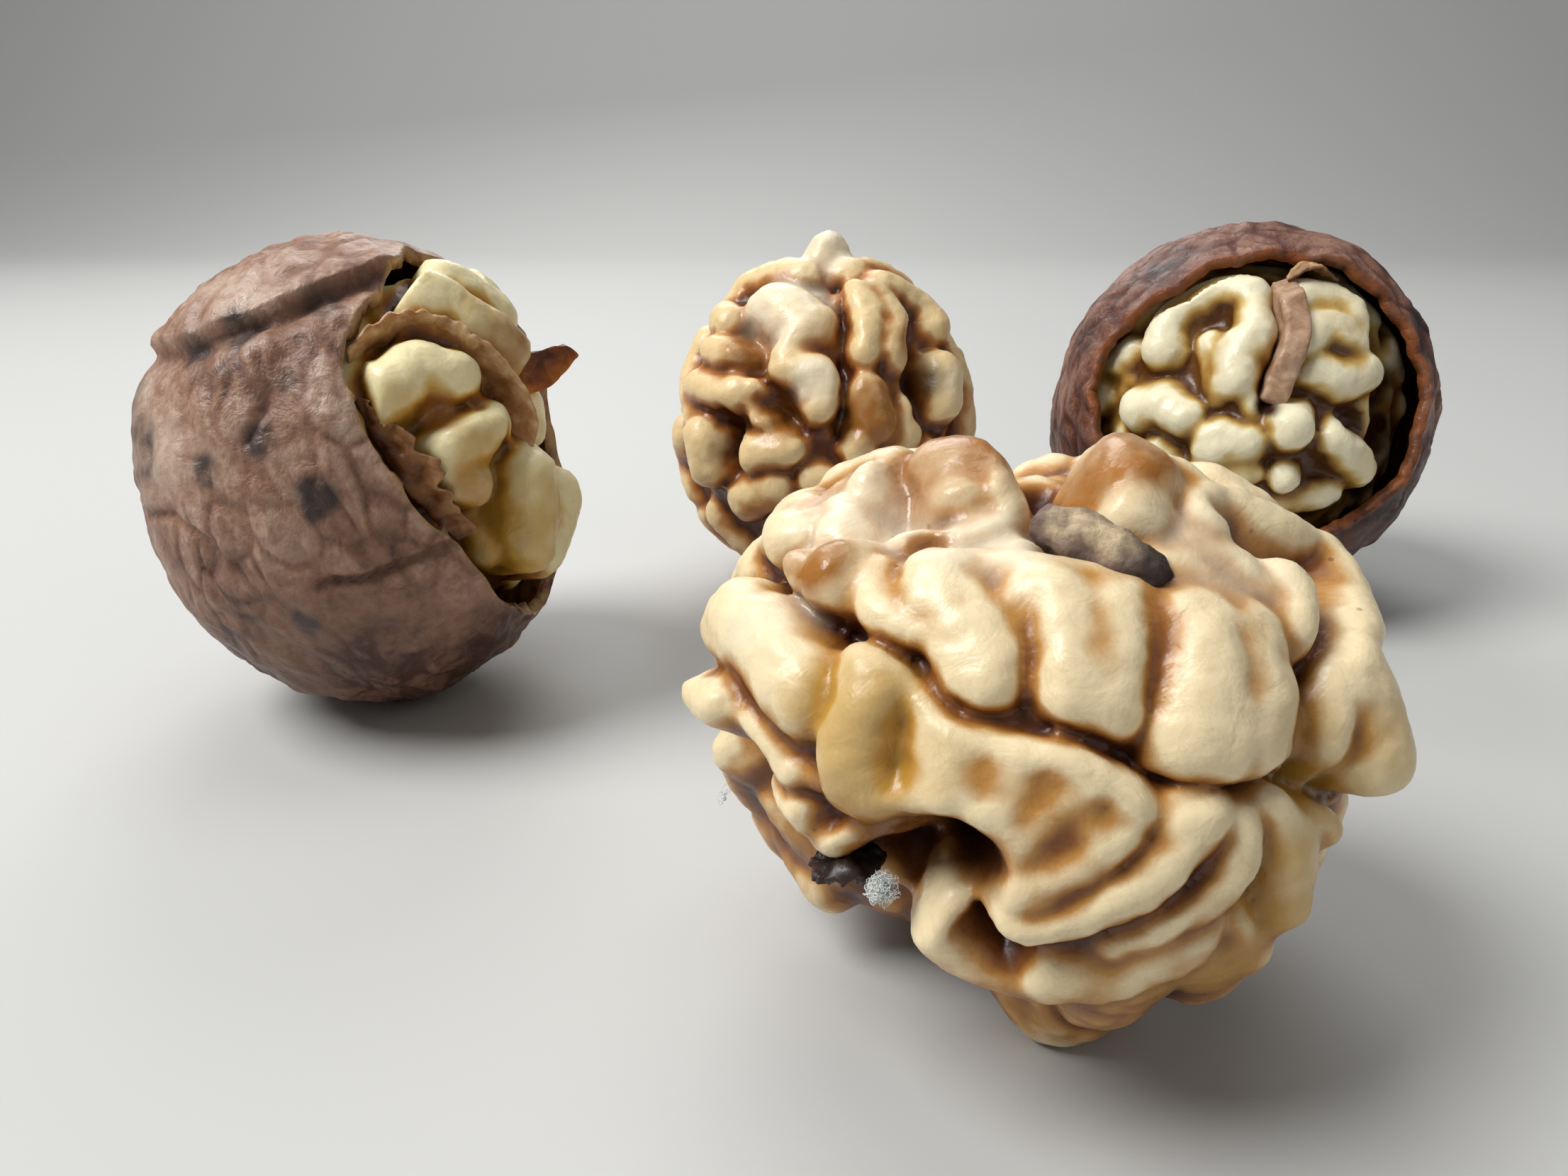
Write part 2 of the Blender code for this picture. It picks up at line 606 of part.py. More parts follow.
def make_floor(cutters):
    """Make the block that cuts the nuts flat where they rest on the table."""
    size = 0.3
    shape = bmesh.new()
    bmesh.ops.create_cube(shape, size=size)
    bmesh.ops.translate(shape, verts=shape.verts, vec=(0, 0, -size / 2))
    mesh = bpy.data.meshes.new("table_side")
    shape.to_mesh(mesh)
    shape.free()
    return as_cutter(new_object("table_side", mesh, cutters))


def make_sheet(name, rows, thickness, parts):
    """Make a papery piece: a grid of points with a wall thickness in mm."""
    shape = bmesh.new()
    grid = [[shape.verts.new(point) for point in row] for row in rows]
    for low, high in zip(grid, grid[1:]):
        for a, b, c, d in zip(low, low[1:], high[1:], high):
            shape.faces.new((a, b, c, d))
    bmesh.ops.recalc_face_normals(shape, faces=shape.faces)
    mesh = bpy.data.meshes.new(name)
    shape.to_mesh(mesh)
    shape.free()
    sheet = new_object(name, mesh, parts)
    wall = sheet.modifiers.new("wall", "SOLIDIFY")
    wall.thickness = thickness * MM
    wall.offset = 0.0
    paint(sheet)
    return sheet


def sheet_rows(nut, edge, lifts):
    """Return one row of points for each lift above the nut, along the given places."""
    return [
        curve_through([place(nut, lon, lat, lift) for lon, lat in edge], 1.6 * MM)
        for lift in lifts
    ]


def add_bar(curve, nut, radius, lift, places):
    """Add one bar to a curve whose bevel depth is 1 mm, with rounded ends."""
    line = curve_through(
        [place(nut, lon, lat, lift - radius) for lon, lat in places], RING_STEP * radius * MM
    )
    if len(line) == 1:
        line.append(line[0] + direction(*places[0]) * 0.1 * MM)
    head = (line[0] - line[1]).normalized() * radius * MM
    tail = (line[-1] - line[-2]).normalized() * radius * MM
    rings = [(line[0] + head * s, math.sqrt(1 - s * s)) for s in (0.98, 0.8, 0.45)]
    rings += [(point, 1.0) for point in line]
    rings += [(line[-1] + tail * s, math.sqrt(1 - s * s)) for s in (0.45, 0.8, 0.98)]
    spline = curve.splines.new("POLY")
    spline.points.add(len(rings) - 1)
    for point, (spot, share) in zip(spline.points, rings):
        point.co = (*spot, 1.0)
        point.radius = radius * share


def make_chip(name, nut, radius, flat, lift, places, parts):
    """Make a small chip: a short rounded bar along the nut, pressed flat by a factor."""
    curve = bpy.data.curves.new(name, "CURVE")
    curve.dimensions = "3D"
    curve.bevel_depth = MM
    curve.bevel_resolution = 2
    curve.use_fill_caps = True
    add_bar(curve, nut, radius, lift, places)
    bar = new_object(name + "_bar", curve, parts)
    mesh = mesh_of(bar)
    mesh.name = name
    bpy.data.objects.remove(bar)
    shape = bmesh.new()
    shape.from_mesh(mesh)
    bmesh.ops.remove_doubles(shape, verts=shape.verts, dist=0.00001)
    middle = places[len(places) // 2]
    out = direction(*middle)
    core = place(nut, *middle, lift - radius)
    for vert in shape.verts:
        vert.co -= out * (vert.co - core).dot(out) * (1 - flat)
    shape.to_mesh(mesh)
    shape.free()
    chip = new_object(name, mesh, parts)
    paint(chip)
    return chip


def main():
    """Build the four nuts and the loose bits on them."""
    for thing in list(bpy.data.objects):
        bpy.data.objects.remove(thing)
    parts = bpy.data.collections.new(GROUP)
    cutters = bpy.data.collections.new("cutters")
    for collection in (parts, cutters):
        bpy.context.scene.collection.children.link(collection)
    floor = make_floor(cutters)

    front = make_kernel("front", parts, floor)
    fragment = make_chip(
        "front_septum_fragment", "front", 1.35, 0.75, 1.0, ((-7, 61), (3, 58), (11, 53)), parts
    )
    scrap = make_sheet(
        "front_shell_scrap",
        sheet_rows("front", ((-47, -8), (-41, -7), (-35, -6), (-30, -7)), (-3.2, -1.6, 0.0)),
        0.5, parts,
    )
    for piece in (fragment, scrap):
        cut(front, grown_cutter(piece, cutters))

    make_kernel("back", parts, floor)

    make_shell("left", parts, floor)
    left = make_kernel("left", parts, floor)
    septum = make_sheet(
        "left_septum",
        sheet_rows("left", ((26, 43), (32, 45), (42, 47), (54, 43), (62, 35), (68, 26), (70, 16), (66, 7)),
                   (-6.0, -3.5, -1.0)),
        0.5, parts,
    )
    shard = make_sheet(
        "left_shard",
        [
            [place("left", 76, 34, -3.0), place("left", 85, 32, 0.0), place("left", 96, 29, 2.2)],
            [place("left", 76, 26, -3.0), place("left", 86, 23, -0.2), place("left", 99, 26, 2.4)],
        ],
        0.9, parts,
    )
    for piece in (septum, shard):
        cut(left, grown_cutter(piece, cutters))

    make_shell("right", parts, floor)
    right = make_kernel("right", parts, floor)
    band = make_sheet(
        "right_septum",
        sheet_rows("right", ((-7, 54), (-5, 44), (-4, 36), (-7, 25), (-11, 15)), (-6.0, -3.5, -1.0)),
        1.6, parts,
    )
    flake = make_sheet(
        "right_skin_flake",
        [
            [place("right", -1, 55, -1.4), place("right", 9, 56, -0.4), place("right", 20, 54, -1.0)],
            [place("right", 0, 60, -2.6), place("right", 10, 61, -1.6), place("right", 20, 59, -2.4)],
        ],
        0.4, parts,
    )
    for piece in (band, flake):
        cut(right, grown_cutter(piece, cutters))


main()
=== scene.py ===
import math
import random

import bmesh
import bpy
import numpy as np
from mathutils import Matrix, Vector, noise


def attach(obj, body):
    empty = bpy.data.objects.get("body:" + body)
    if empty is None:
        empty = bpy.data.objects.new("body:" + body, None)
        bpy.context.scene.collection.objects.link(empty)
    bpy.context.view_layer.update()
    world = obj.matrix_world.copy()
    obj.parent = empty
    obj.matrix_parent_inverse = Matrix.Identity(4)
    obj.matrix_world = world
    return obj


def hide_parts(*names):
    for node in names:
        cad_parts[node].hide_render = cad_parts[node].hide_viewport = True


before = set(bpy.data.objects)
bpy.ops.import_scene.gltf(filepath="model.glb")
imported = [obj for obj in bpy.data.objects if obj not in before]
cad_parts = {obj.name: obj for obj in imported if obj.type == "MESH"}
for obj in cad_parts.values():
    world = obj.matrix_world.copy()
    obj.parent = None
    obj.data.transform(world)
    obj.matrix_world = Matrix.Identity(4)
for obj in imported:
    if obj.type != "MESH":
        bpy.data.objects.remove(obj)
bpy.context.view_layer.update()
bpy.ops.object.select_all(action="DESELECT")
mm = 0.001
strokeStep = 0.8  # spacing of the points along a stroke, mm

# Each nut follows an ellipsoid: its centre and half sizes along X, Y and Z in mm.
# Places on it are longitude, 0 at the front and growing to the right, and latitude.
nuts = {
    "front": ((6.3, -32.4, 15.5), (18.7, 16.5, 15.5)),
    "back": ((-2.9, 33.0, 17.8), (16.2, 15.5, 17.8)),
    "left": ((-42.0, 4.9, 19.5), (17.3, 17.3, 19.5)),
    "right": ((40.6, 30.7, 19.3), (18.7, 18.7, 19.3)),
}

# Places and directions on a nut


def direction(lon, lat):
    lon = math.radians(lon)
    lat = math.radians(lat)
    return Vector((math.sin(lon) * math.cos(lat), -math.cos(lon) * math.cos(lat), math.sin(lat)))


def place(nut, lon, lat, lift=0.0):
    centre, half = nuts[nut]
    return Vector([(c + (h + lift) * w) * mm for c, h, w in zip(centre, half, direction(lon, lat))])


def directionsOf(nut, points):  # unit directions and share of the ellipsoid's size, per point
    centre, half = (np.array(side) * mm for side in nuts[nut])
    ways = (points - centre) / half
    reach = np.linalg.norm(ways, axis=1)
    return ways / reach[:, None], reach


def anglesOf(ways):  # longitudes and latitudes of unit directions
    lats = np.degrees(np.arcsin(np.clip(ways[:, 2], -1, 1)))
    return np.degrees(np.arctan2(ways[:, 0], -ways[:, 1])), lats


def latAt(lons, places):  # latitude of a line of places at each longitude
    return np.interp(lons, [spot[0] for spot in places], [spot[1] for spot in places])


def eased(share):  # 0 to 1 with a soft start and end
    return share * share * (3 - 2 * share)


def curveThrough(points, step):  # a smooth line through the points
    if len(points) == 1:
        return [points[0]]
    ends = [2 * points[0] - points[1]] + list(points) + [2 * points[-1] - points[-2]]
    line = []
    for a, b, c, d in zip(ends, ends[1:], ends[2:], ends[3:]):
        count = max(2, math.ceil((c - b).length / step))
        for k in range(count):
            t = k / count
            bend = (2 * a - 5 * b + 4 * c - d) * t * t + (3 * b - a - 3 * c + d) * t ** 3
            line.append(0.5 * (2 * b + (c - a) * t + bend))
    return line + [points[-1]]


# Mesh helpers


def activate(thing):
    bpy.ops.object.select_all(action="DESELECT")
    thing.select_set(True)
    bpy.context.view_layer.objects.active = thing


def applyModifier(thing, kind, **settings):
    activate(thing)
    modifier = thing.modifiers.new(kind.lower(), kind)
    for key, value in settings.items():
        setattr(modifier, key, value)
    bpy.ops.object.modifier_apply(modifier=modifier.name)


def pointsOf(thing):
    flat = np.empty(len(thing.data.vertices) * 3)
    thing.data.vertices.foreach_get("co", flat)
    return flat.reshape(-1, 3)


def normalsOf(thing):
    flat = np.empty(len(thing.data.vertices) * 3, np.float32)
    thing.data.vertex_normals.foreach_get("vector", flat)
    return flat.reshape(-1, 3).astype(float)


def setPoints(thing, points):
    thing.data.vertices.foreach_set("co", points.ravel())
    thing.data.update()


def edgesOf(thing):
    flat = np.empty(len(thing.data.edges) * 2, np.int32)
    thing.data.edges.foreach_get("vertices", flat)
    return flat.reshape(-1, 2)


def relaxed(values, edges, rounds):  # each round moves a value halfway to its neighbours' mean
    count = len(values)
    a, b = edges[:, 0], edges[:, 1]
    near = np.bincount(a, minlength=count) + np.bincount(b, minlength=count)
    near = np.maximum(near, 1)
    values = values.copy()
    for _ in range(rounds):
        for k in range(values.shape[1]):
            column = values[:, k]
            total = np.bincount(a, column[b], count) + np.bincount(b, column[a], count)
            values[:, k] = 0.5 * column + 0.5 * total / near
    return values


def keepMark(thing, name, values):
    mark = thing.data.attributes.new(name, "FLOAT", "POINT")
    mark.data.foreach_set("value", np.clip(values, 0.0, 1.0).astype(np.float32))


def noiseAt(points, size, seed=0, octaves=3):  # smooth noise, about -1 to 1, size in the points' unit
    shift = Vector((seed * 3.7, seed * 1.3, seed * 7.1))
    return np.array([
        noise.fractal(Vector(p) / size + shift, 1.0, 2.0, octaves) for p in points.tolist()
    ])


def keepLargestBody(thing):
    edges = edgesOf(thing)
    label = np.arange(len(thing.data.vertices))
    while True:
        low = np.minimum(label[edges[:, 0]], label[edges[:, 1]])
        fresh = label.copy()
        np.minimum.at(fresh, edges[:, 0], low)
        np.minimum.at(fresh, edges[:, 1], low)
        fresh = fresh[fresh]
        if np.array_equal(fresh, label):
            break
        label = fresh
    names, counts = np.unique(label, return_counts=True)
    if len(names) > 1:
        stray = label != names[np.argmax(counts)]
        shape = bmesh.new()
        shape.from_mesh(thing.data)
        shape.verts.ensure_lookup_table()
        bmesh.ops.delete(shape, geom=[shape.verts[k] for k in np.flatnonzero(stray)], context="VERTS")
        shape.to_mesh(thing.data)
        shape.free()


def deselectMesh():
    bpy.ops.object.mode_set(mode="EDIT")
    bpy.ops.mesh.select_all(action="DESELECT")
    bpy.ops.object.mode_set(mode="OBJECT")


def finishPiece(thing, name, nodes, material):
    thing.name = name
    thing.data.name = name
    thing.data.materials.clear()
    thing.data.materials.append(material)
    thing.data.shade_smooth()
    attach(thing, "root")
    if nodes:
        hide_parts(*nodes)
    print("made", name, len(thing.data.polygons), "faces")


# Shader helpers


def fromHex(code):
    parts = [int(code[k:k + 2], 16) / 255 for k in (0, 2, 4)]
    return tuple(p / 12.92 if p <= 0.04045 else ((p + 0.055) / 1.055) ** 2.4 for p in parts) + (1.0,)


class Value:  # a socket that can stand in a sum
    def __init__(self, finish, socket):
        self.finish = finish
        self.socket = socket

    def sum(self, operation, first, second):
        return self.finish.add("ShaderNodeMath", {"operation": operation}, {0: first, 1: second})

    def __add__(self, other):
        return self.sum("ADD", self, other)

    def __radd__(self, other):
        return self.sum("ADD", other, self)

    def __sub__(self, other):
        return self.sum("SUBTRACT", self, other)

    def __rsub__(self, other):
        return self.sum("SUBTRACT", other, self)

    def __mul__(self, other):
        return self.sum("MULTIPLY", self, other)

    def __rmul__(self, other):
        return self.sum("MULTIPLY", other, self)

    def __abs__(self):
        return self.sum("ABSOLUTE", self, 0.0)


class Finish:
    def __init__(self, name, **fixed):
        self.material = bpy.data.materials.new(name)
        self.material.use_nodes = True
        self.tree = self.material.node_tree
        self.shader = self.tree.nodes["Principled BSDF"]
        for key, value in fixed.items():
            self.shader.inputs[key.replace("_", " ")].default_value = value

    def add(self, kind, settings=None, sockets=None, output=0):
        node = self.tree.nodes.new(kind)
        for key, value in (settings or {}).items():
            if key == "stops":
                self.setStops(node.color_ramp, value)
            else:
                setattr(node, key, value)
        for key, value in (sockets or {}).items():
            if isinstance(value, Value):
                self.tree.links.new(value.socket, node.inputs[key])
            else:
                node.inputs[key].default_value = value
        return Value(self, node.outputs[output])

    def setStops(self, ramp, stops):
        while len(ramp.elements) < len(stops):
            ramp.elements.new(0.5)
        for element, (spot, colour) in zip(ramp.elements, stops):
            element.position = spot
            element.color = fromHex(colour) if isinstance(colour, str) else (colour,) * 3 + (1.0,)

    def mark(self, name):
        return self.add("ShaderNodeAttribute", {"attribute_name": name}, output="Fac")

    def place(self):
        return self.add("ShaderNodeTexCoord", output="Object")

    def grain(self, size, detail=3.0, rough=0.55, twist=0.0):  # cloudy noise, size in mm
        sockets = {"Vector": self.place(), "Scale": 1 / (size * mm), "Detail": detail,
                   "Roughness": rough, "Distortion": twist}
        return self.add("ShaderNodeTexNoise", None, sockets)

    def cells(self, size):  # distance to the nearest of scattered points, size in mm
        sockets = {"Vector": self.place(), "Scale": 1 / (size * mm)}
        return self.add("ShaderNodeTexVoronoi", {"feature": "F1"}, sockets, "Distance")

    def ramp(self, value, *stops):
        return self.add("ShaderNodeValToRGB", {"stops": stops}, {"Fac": value})

    def band(self, value, low, high, start=0.0, end=1.0):  # value from low to high gives start to end
        sockets = {"Value": value, "From Min": low, "From Max": high, "To Min": start, "To Max": end}
        return self.add("ShaderNodeMapRange", {"interpolation_type": "SMOOTHSTEP"}, sockets)

    def mix(self, share, first, second, how="MIX"):
        settings = {"data_type": "RGBA", "blend_type": how}
        first, second = (fromHex(c) if isinstance(c, str) else c for c in (first, second))
        return self.add("ShaderNodeMix", settings, {0: share, 6: first, 7: second}, 2)

    def bump(self, height, distance, under=None):  # distance in mm, on top of another bump
        sockets = {"Height": height, "Distance": distance * mm, "Strength": 1.0}
        if under:
            sockets["Normal"] = under
        return self.add("ShaderNodeBump", None, sockets)

    def give(self, **values):
        for key, value in values.items():
            self.tree.links.new(value.socket, self.shader.inputs[key.replace("_", " ")])
        return self.material


# Kernel skin: cream on the crests, tan and golden lower down, brown in the valleys, partly the skin's own
# colour and partly painted shade in hollows and on faces that look down


def kernelSkin(name, crest, flank, valley, depth, vein):
    skin = Finish(name, Subsurface_Weight=0.1, Subsurface_Scale=0.0012, IOR=1.46)
    skin.shader.inputs["Subsurface Radius"].default_value = (1.0, 0.5, 0.22)
    cloud = skin.grain(5.0, 2.0)
    fleck = skin.grain(1.1, 4.0, 0.6, 0.4)
    # the skin's own valley colour plus painted shade: this mark runs the ramp from cream crests to dark brown
    # hollows
    low = skin.mark("valley") + (cloud - 0.5) * 0.7 + (fleck - 0.5) * 0.16
    base = skin.ramp(low, (0.12, crest), (0.38, flank), (0.64, valley), (0.98, depth))
    threads = skin.grain(2.2, 5.0, 0.7, 1.2)
    streak = skin.band(abs(threads - 0.5), 0.0, 0.03, 0.1, 0.0)
    base = skin.mix(streak, base, vein, "MULTIPLY")
    base = skin.mix(skin.mark("pale"), base, "efe2c6")
    base = skin.mix(skin.mark("yellow") * 0.7, base, "b98e34")
    base = skin.mix(skin.mark("amber"), base, "a0682c")
    # painted shade: the dark spots turn the skin near black inside deep dents and gaps
    base = skin.mix(skin.mark("dark"), base, "35170a")
    pits = skin.band(skin.cells(1.9), 0.05, 0.1, 1.0, 0.0) * skin.mark("speckled")
    base = skin.mix(pits * 0.8, base, "5a3218")
    rough = skin.band(fleck, 0.3, 0.7, 0.26, 0.44) - skin.mark("amber") * 0.1
    fine = skin.bump(skin.grain(0.35, 3.0), 0.02)
    normal = skin.bump(skin.grain(1.8, 3.0, 0.6, 0.6), 0.1, fine)
    return skin.give(Base_Color=base, Roughness=rough, Normal=normal)


# Kernels: strokes raise folds and press grooves into an ellipsoid, which is then remeshed

kernelGrid = {
    "subdivisions": 8, "voxel": 0.28, "smoothing": 3, "blend": 0.55,
    "warp": 0.45, "warpSize": 4.5,  # how far the strokes wander
    "swell": 0.5, "swellSize": 4.0,  # unevenness of the core under the folds
    "foldReach": 3.2, "foldRound": 0.8, "foldSlope": 1.6,  # in fold radii
    "lump": 0.22, "lumpSize": 3.2, "pimple": 0.06, "pimpleSize": 1.1,
}
# Folds of the sides that don't show: wavy rows of pieces from the top down
hiddenPattern = {
    "topGap": 14, "room": 12, "length": (14, 34), "gap": (9, 13), "points": 3,
    "swing": 9, "rowPhase": 2.1, "pointPhase": 1.9, "latPhase": 0.05,
    "thickness": (0.7, 1.1), "liftSpread": (-0.5, 0.4),
}


def lineOf(nut, places):  # a stroke on the nut's ellipsoid, in mm from its centre
    centre = Vector(nuts[nut][0]) * mm
    line = curveThrough([place(nut, *spot) for spot in places], strokeStep * mm)
    return np.array([(point - centre) / mm for point in line])


def distanceTo(line, points):
    if len(line) == 1:
        return np.linalg.norm(points - line[0], axis=1)
    best = np.full(len(points), np.inf)
    for a, b in zip(line, line[1:]):
        along = b - a
        t = np.clip((points - a) @ along / (along @ along), 0, 1)
        best = np.minimum(best, np.linalg.norm(points - a - t[:, None] * along, axis=1))
    return best


def nearStroke(nut, places, points, reach):  # the points near a stroke, and how far they are from it
    line = lineOf(nut, places)
    middle = (line.min(0) + line.max(0)) / 2
    span = np.linalg.norm(line - middle, axis=1).max() + reach
    near = np.flatnonzero(np.linalg.norm(points - middle, axis=1) < span)
    return near, distanceTo(line, points[near])


def higher(a, b, blend):  # the larger of two heights, rounded where they meet
    share = np.clip(0.5 + 0.5 * (a - b) / blend, 0, 1)
    return b * (1 - share) + a * share + blend * share * (1 - share)


def foldDrop(x):  # how far a fold of radius 1 falls at distance x from its middle line
    inner = np.minimum(x, kernelGrid["foldRound"])
    straight = np.maximum(0, x - kernelGrid["foldRound"])
    return 1 - np.sqrt(1 - inner * inner) + kernelGrid["foldSlope"] * straight


def hiddenFolds(rows):
    dice = random.Random(rows["seed"])
    pattern = hiddenPattern
    folds = []
    for row in range(rows["count"]):
        lon = rows["first"] + (rows["last"] - rows["first"]) * row / (rows["count"] - 1)
        lat = rows["high"] - dice.uniform(0, pattern["topGap"])
        while lat > rows["low"] + pattern["room"]:
            length = dice.uniform(*pattern["length"])
            turn = dice.uniform(-1, 1)
            path = []
            for k in range(pattern["points"]):
                wave = pattern["rowPhase"] * row + k * pattern["pointPhase"] + lat * pattern["latPhase"]
                swing = pattern["swing"] * (math.sin(wave) + turn * k)
                path.append((lon + swing, max(rows["low"], lat - length * k / (pattern["points"] - 1))))
            radius = rows["radius"] * dice.uniform(*pattern["thickness"])
            folds.append((radius, rows["lift"] + dice.uniform(*pattern["liftSpread"]), path))
            lat -= length + dice.uniform(*pattern["gap"])
    return folds


def kernelHeight(nut, ways, settings):  # height above the ellipsoid in mm, along each direction
    surface = ways * np.array(nuts[nut][1])
    seeds = [k + settings["seed"] for k in (1, 2, 3)]
    warp = np.stack([noiseAt(surface, kernelGrid["warpSize"], seed, 2) for seed in seeds], 1)
    height = np.full(len(ways), -settings["coreDepth"])
    height += kernelGrid["swell"] * noiseAt(surface, kernelGrid["swellSize"], settings["seed"], 2)
    surface = surface + warp * kernelGrid["warp"]
    for radius, lift, places in hiddenFolds(settings["hiddenRows"]) + settings["folds"]:
        near, away = nearStroke(nut, places, surface, radius * kernelGrid["foldReach"])
        rise = lift - radius * foldDrop(away / radius)
        height[near] = higher(rise, height[near], settings.get("blend", kernelGrid["blend"]))
    for depth, width, places in settings["creases"]:
        near, away = nearStroke(nut, places, surface, width)
        share = np.clip(1 - away / width, 0, 1)
        height[near] -= depth * (1 - np.sqrt(1 - share * share))
    for depth, width, places in settings["dents"]:
        near, away = nearStroke(nut, places, surface, width)
        share = np.clip(away / width, 0, 1)
        height[near] -= depth * (0.5 + 0.5 * np.cos(np.pi * share))
    return height


def bendLip(nut, points, ways, height, lip):  # moves the edge above the seam down over it
    near, away = nearStroke(nut, lip["places"], ways * np.array(nuts[nut][1]), lip["reach"])
    way = ways[near]
    lons, lats = anglesOf(way)
    level = np.sqrt(np.maximum(1e-6, 1 - way[:, 2] ** 2))
    down = np.stack([way[:, 0] * way[:, 2] / level, way[:, 1] * way[:, 2] / level, -level], 1)
    pull = np.clip(1 - away / lip["reach"], 0, 1) ** lip["fade"]
    pull *= np.clip((height[near] - lip["lowest"]) / lip["rise"], 0, 1)
    pull *= np.where(lats > latAt(lons, lip["places"]), lip["over"], -lip["under"])
    points[near] += down * pull[:, None]


def kernelBody(nut, settings):
    bpy.ops.mesh.primitive_ico_sphere_add(subdivisions=kernelGrid["subdivisions"], radius=1.0)
    body = bpy.context.object
    ways = pointsOf(body)
    ways = ways / np.linalg.norm(ways, axis=1)[:, None]
    centre, half = (np.array(side) for side in nuts[nut])
    height = kernelHeight(nut, ways, settings)
    points = centre + (half + height[:, None]) * ways
    if "lip" in settings:
        bendLip(nut, points, ways, height, settings["lip"])
    setPoints(body, points * mm)
    voxel = settings.get("voxel", kernelGrid["voxel"])
    applyModifier(body, "REMESH", mode="VOXEL", voxel_size=voxel * mm)
    applyModifier(body, "SMOOTH", factor=0.5, iterations=kernelGrid["smoothing"])
    keepLargestBody(body)
    return body


def spotMask(ways, spots, soft=0.35):  # spots are longitude, latitude, radius in degrees, strength
    total = np.zeros(len(ways))
    for lon, lat, radius, strength in spots:
        angle = np.degrees(np.arccos(np.clip(ways @ np.array(direction(lon, lat)), -1, 1)))
        share = np.clip((radius * (1 + soft) - angle) / (2 * soft * radius), 0, 1)
        total = np.maximum(total, strength * share)
    return eased(total)


def flatOnTable(points):
    points[:, 2] = np.maximum(points[:, 2], 0.0)


# Hollows, depth below the ellipsoid and faces that look down all push the skin browner: painted shade on top
# of the skin's own browner valleys
valleyShadeMark = {
    "nearRounds": 14, "farRounds": 110, "even": 0.36, "broad": 0.65, "fine": 1.6,
    "deep": 0.25, "deepSpan": 5.0, "deepLimits": (-0.3, 1.0),  # below the ellipsoid
    "underside": 0.42, "undersideShadeFrom": 0.3, "undersideShadeLimit": 1.2,  # faces that look down
    "wobble": 0.5, "wobbleSize": 2.5,  # uneven edges of the spots
}


def markKernel(thing, nut, settings):  # marks that the skin reads: valleys darkened partly by painted shade, and spots
    points = pointsOf(thing)
    edges = edgesOf(thing)
    normals = normalsOf(thing)
    near = relaxed(points, edges, valleyShadeMark["nearRounds"])
    far = relaxed(near, edges, valleyShadeMark["farRounds"])
    # painted shade: fine and broad measure how far each point lies in a hollow, deep how far it lies below
    # the ellipsoid
    fine = ((near - points) * normals).sum(1) / mm
    broad = ((far - points) * normals).sum(1) / mm
    ways, reach = directionsOf(nut, points)
    deep = np.clip((1 - reach) * nuts[nut][1][0] / valleyShadeMark["deepSpan"], *valleyShadeMark["deepLimits"])
    valley = valleyShadeMark["even"] + valleyShadeMark["broad"] * broad + valleyShadeMark["fine"] * fine
    valley += valleyShadeMark["deep"] * deep
    # painted shade: faces that look down get browner
    down = np.clip(valleyShadeMark["undersideShadeFrom"] - normals[:, 2], 0, valleyShadeMark["undersideShadeLimit"])
    valley += settings.get("underside", valleyShadeMark["underside"]) * down
    keepMark(thing, "valley", relaxed(valley[:, None], edges, 3)[:, 0])
    wobble = noiseAt(points, valleyShadeMark["wobbleSize"] * mm, 3)
    for name in ("yellow", "amber", "dark", "pale", "speckled"):
        spots = settings["spots"].get(name, ())
        keepMark(thing, name, spotMask(ways, spots) * (1 + valleyShadeMark["wobble"] * wobble))


def makeKernel(nut, settings):
    kernel = kernelBody(nut, settings)
    points = pointsOf(kernel)
    normals = normalsOf(kernel)
    bumps = noiseAt(points, kernelGrid["lumpSize"] * mm, 1) * kernelGrid["lump"]
    bumps += noiseAt(points, kernelGrid["pimpleSize"] * mm, 2, 2) * kernelGrid["pimple"]
    points += normals * bumps[:, None] * mm
    if "mouth" in settings:
        holdInsideShell(nut, points, settings["mouth"], settings["clearance"])
    flatOnTable(points)
    setPoints(kernel, points)
    markKernel(kernel, nut, settings)
    finishPiece(kernel, settings["name"], [settings["node"]], settings["skin"])


# The mouth of a shell and its rim. A kernel may bulge out of the mouth, further from the rim

mouthBulge = {"margin": 4, "perLength": 20}  # degrees inside the rim, and degrees per nut radius


def rimOf(mouth):
    axis = direction(*mouth["middle"])
    side = Vector((0, 0, 1)).cross(axis).normalized()
    up = axis.cross(side)
    turns = []
    for lon, lat in mouth["rim"]:
        way = direction(lon, lat)
        turns.append((math.atan2(way.dot(up), way.dot(side)), axis.angle(way)))
    turns.sort()
    turn, angle = (np.array(column) for column in zip(*turns))
    return np.array(axis), np.array(side), np.array(up), turn, angle


def rimAngle(turn, turns, angles):
    return np.interp(turn, turns, angles, period=math.tau)


def holdInsideShell(nut, points, mouth, clearance):
    axis, side, up, turns, angles = rimOf(mouth)
    centre, half = (np.array(x) for x in nuts[nut])
    ways, reach = directionsOf(nut, points)
    inside = rimAngle(np.arctan2(ways @ up, ways @ side), turns, angles)
    inside = np.degrees(inside - np.arccos(np.clip(ways @ axis, -1, 1)))
    bulge = np.maximum(0, inside - mouthBulge["margin"]) / mouthBulge["perLength"]
    limit = 1 - clearance / half[0] + bulge
    held = np.minimum(reach, limit)
    points[:] = (centre + half * ways * held[:, None]) * mm


print("stage: kernels")

